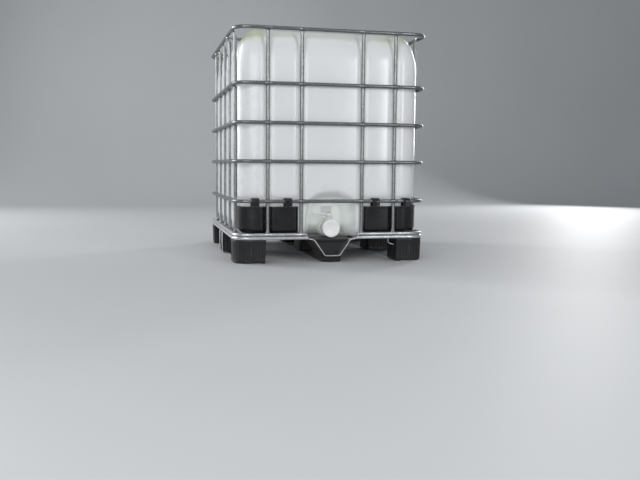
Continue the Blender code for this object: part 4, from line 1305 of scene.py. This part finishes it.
BORE = 0.0275
length = valve_high[1] - valve_low[1]
stem_y = node_middle("handle_screw")[1]
thread_low = length - 0.034
barrel = np.linspace(0.004, thread_low - 0.004, 22)
body_profile = [
    (BORE, 0.0), (0.0336, 0.0), (0.0342, 0.001),
    *zip(0.0338 + 0.0026 * bell(barrel - (valve_high[1] - stem_y), 0.013), barrel),
    (0.0362, thread_low - 0.001), (0.0366, thread_low),
    *thread(0.0392, 0.0016, 0.0054, thread_low + 0.0015, length - 0.0015, 44), (0.0366, length), (BORE, length),
]
body_skin = turned(body_profile, on_outlet(valve_high[1]), "forward", 96, closed=True)
boss = valve_high[2] - outlet_height
boss_profile = [
    (0.002, 0.030), (0.0165, 0.030), (0.0158, 0.036), (0.0142, 0.040), (0.0138, boss - 0.005),
    (0.0142, boss - 0.004), (0.0142, boss - 0.001), (0.0132, boss), (0.002, boss),
]
boss_skin = turned(boss_profile, on_outlet(stem_y), "up", 48)
webs = []
for x in (-0.012, 0.012):
    path = [(x, stem_y, outlet_height + 0.033), (x, stem_y, outlet_height + 0.049)]
    webs.append(swept(evenly(path, 0.002), BACK, rounded_strip(0.0014, 0.0155, 0.001)))
body_skins = [body_skin, boss_skin, *webs]
add_white("valve_body_barrel", body_skins, valve_white, stands_for=["valve_body"], sharp=40)
refinish("valve_disc", valve_white)

# %% [markdown]
# The lever is a bar whose width follows a smooth curve from the hub to a rounded tip, with a
# thumb hollow on top. It turns with the disc inside the valve.

# %% Lever and its screw
LEVER_PLACES = 60
LEVER_ROOT = -0.004
lever_low, lever_high = node_box("valve_handle")
hub_profile = [
    (0.002, 0.0), (0.0150, 0.0), (0.0166, 0.0012), (0.0168, 0.0080), (0.0160, 0.0165),
    (0.0145, 0.0196), (0.0120, 0.0200), (0.002, 0.0200),
]
hub_grips = grips(12, depth=0.0010, low=0.001, high=0.016, beyond=0.015)
hub_skin = turned(hub_profile, (0, stem_y, lever_low[2]), "up", 96, hub_grips)
share = np.linspace(0, 1, LEVER_PLACES)
tip = np.sqrt(np.clip(1 - np.clip((share - 0.90) / 0.10, 0, 1) ** 2, 0.01, 1))
half_width = (0.0135 - 0.0050 * smooth_step(share / 0.35) + 0.0024 * smooth_step((share - 0.4) / 0.4)) * tip
half_width = np.minimum(half_width, 0.011)[:, None]
half_height = ((0.0052 - 0.0012 * smooth_step((share - 0.3) / 0.5)) * (0.55 + 0.45 * tip))[:, None]
section = rounded_strip(1.0, 1.0, 0.35) * np.stack([half_height, half_width], -1)
hollow = 0.0014 * bell(share - 0.72, 0.14)[:, None] * (1 - (section[..., 1] / half_width) ** 2)
section[..., 0] += np.where(section[..., 0] < 0, hollow, 0)
reach = LEVER_ROOT + (lever_low[0] + 0.0003 - LEVER_ROOT) * share
lever_height = lever_high[2] - 0.0060 + 0.0006 * np.sin(np.pi * share)
lever_path = np.column_stack([reach, np.full(LEVER_PLACES, stem_y), lever_height])
lever_skins = [hub_skin, swept(lever_path, BACK, section)]
add_white("valve_lever", lever_skins, valve_white, "handle", ["valve_handle"], 50)

screw_low, screw_high = node_box("handle_screw")
radius = (screw_high[0] - screw_low[0]) / 2
rise = screw_high[2] - screw_low[2]
screw_profile = [
    (0.001, 0.0), (radius * 0.96, 0.0), (radius, 0.0006), (radius * 0.97, rise - 0.0012), (radius * 0.8, rise),
    (0.0042, rise), (0.0038, rise - 0.0018), (0.001, rise - 0.0018),
]
screw_skin = turned(screw_profile, (0, stem_y, screw_low[2]), "up", 48)
add_piece("handle_screw_head", [screw_skin], bolt_zinc, "handle", ["handle_screw"], 30)

# %% Dust cap and blank label
cap_low, cap_high = node_box("outlet_cap")
radius = (cap_high[0] - cap_low[0]) / 2
length = cap_high[1] - cap_low[1]
cap_profile = [
    (0.002, length - 0.0042), (radius - 0.006, length - 0.0042), (radius - 0.006, 0.0004),
    (radius - 0.0018, 0.0), (radius - 0.0003, 0.0009), *rows_at(radius, 0.0020, length - 0.0050, 8),
    (radius - 0.0010, length - 0.0024), (radius - 0.0034, length - 0.0004), (radius - 0.0070, length),
    (radius - 0.0115, length), (radius - 0.0130, length - 0.0010), (0.002, length - 0.0010),
]
cap_grips = grips(60, depth=0.0009, low=0.0015, high=length - 0.004, beyond=radius - 0.003)
cap_skin = turned(cap_profile, on_outlet(cap_high[1]), "forward", 240, cap_grips)
add_white("outlet_cap_cup", [cap_skin], cap_white, "outlet_cap", ["outlet_cap"])

LABEL_HALF = (0.029, 0.024)
LABEL_PLACES = 48
LABEL_RISE = 0.082
label_table = loop_table(*LABEL_HALF, [0.004] * 4)
label_along = np.linspace(0, label_table[0][-1], LABEL_PLACES, endpoint=False)
label_loop = on_loop(label_along, label_table)[0] + [0.001, outlet_height + LABEL_RISE]
label_rings = [np.insert(label_loop, 1, outlet_back + y, axis=1) for y in (-0.0012, 0.0004)]
add_white("blank_label", [capped(np.stack(label_rings))], label_paper, sharp=30)
refinish("pallet_tray", sheet_zinc)
print("valve, lever, dust cap and a blank label")
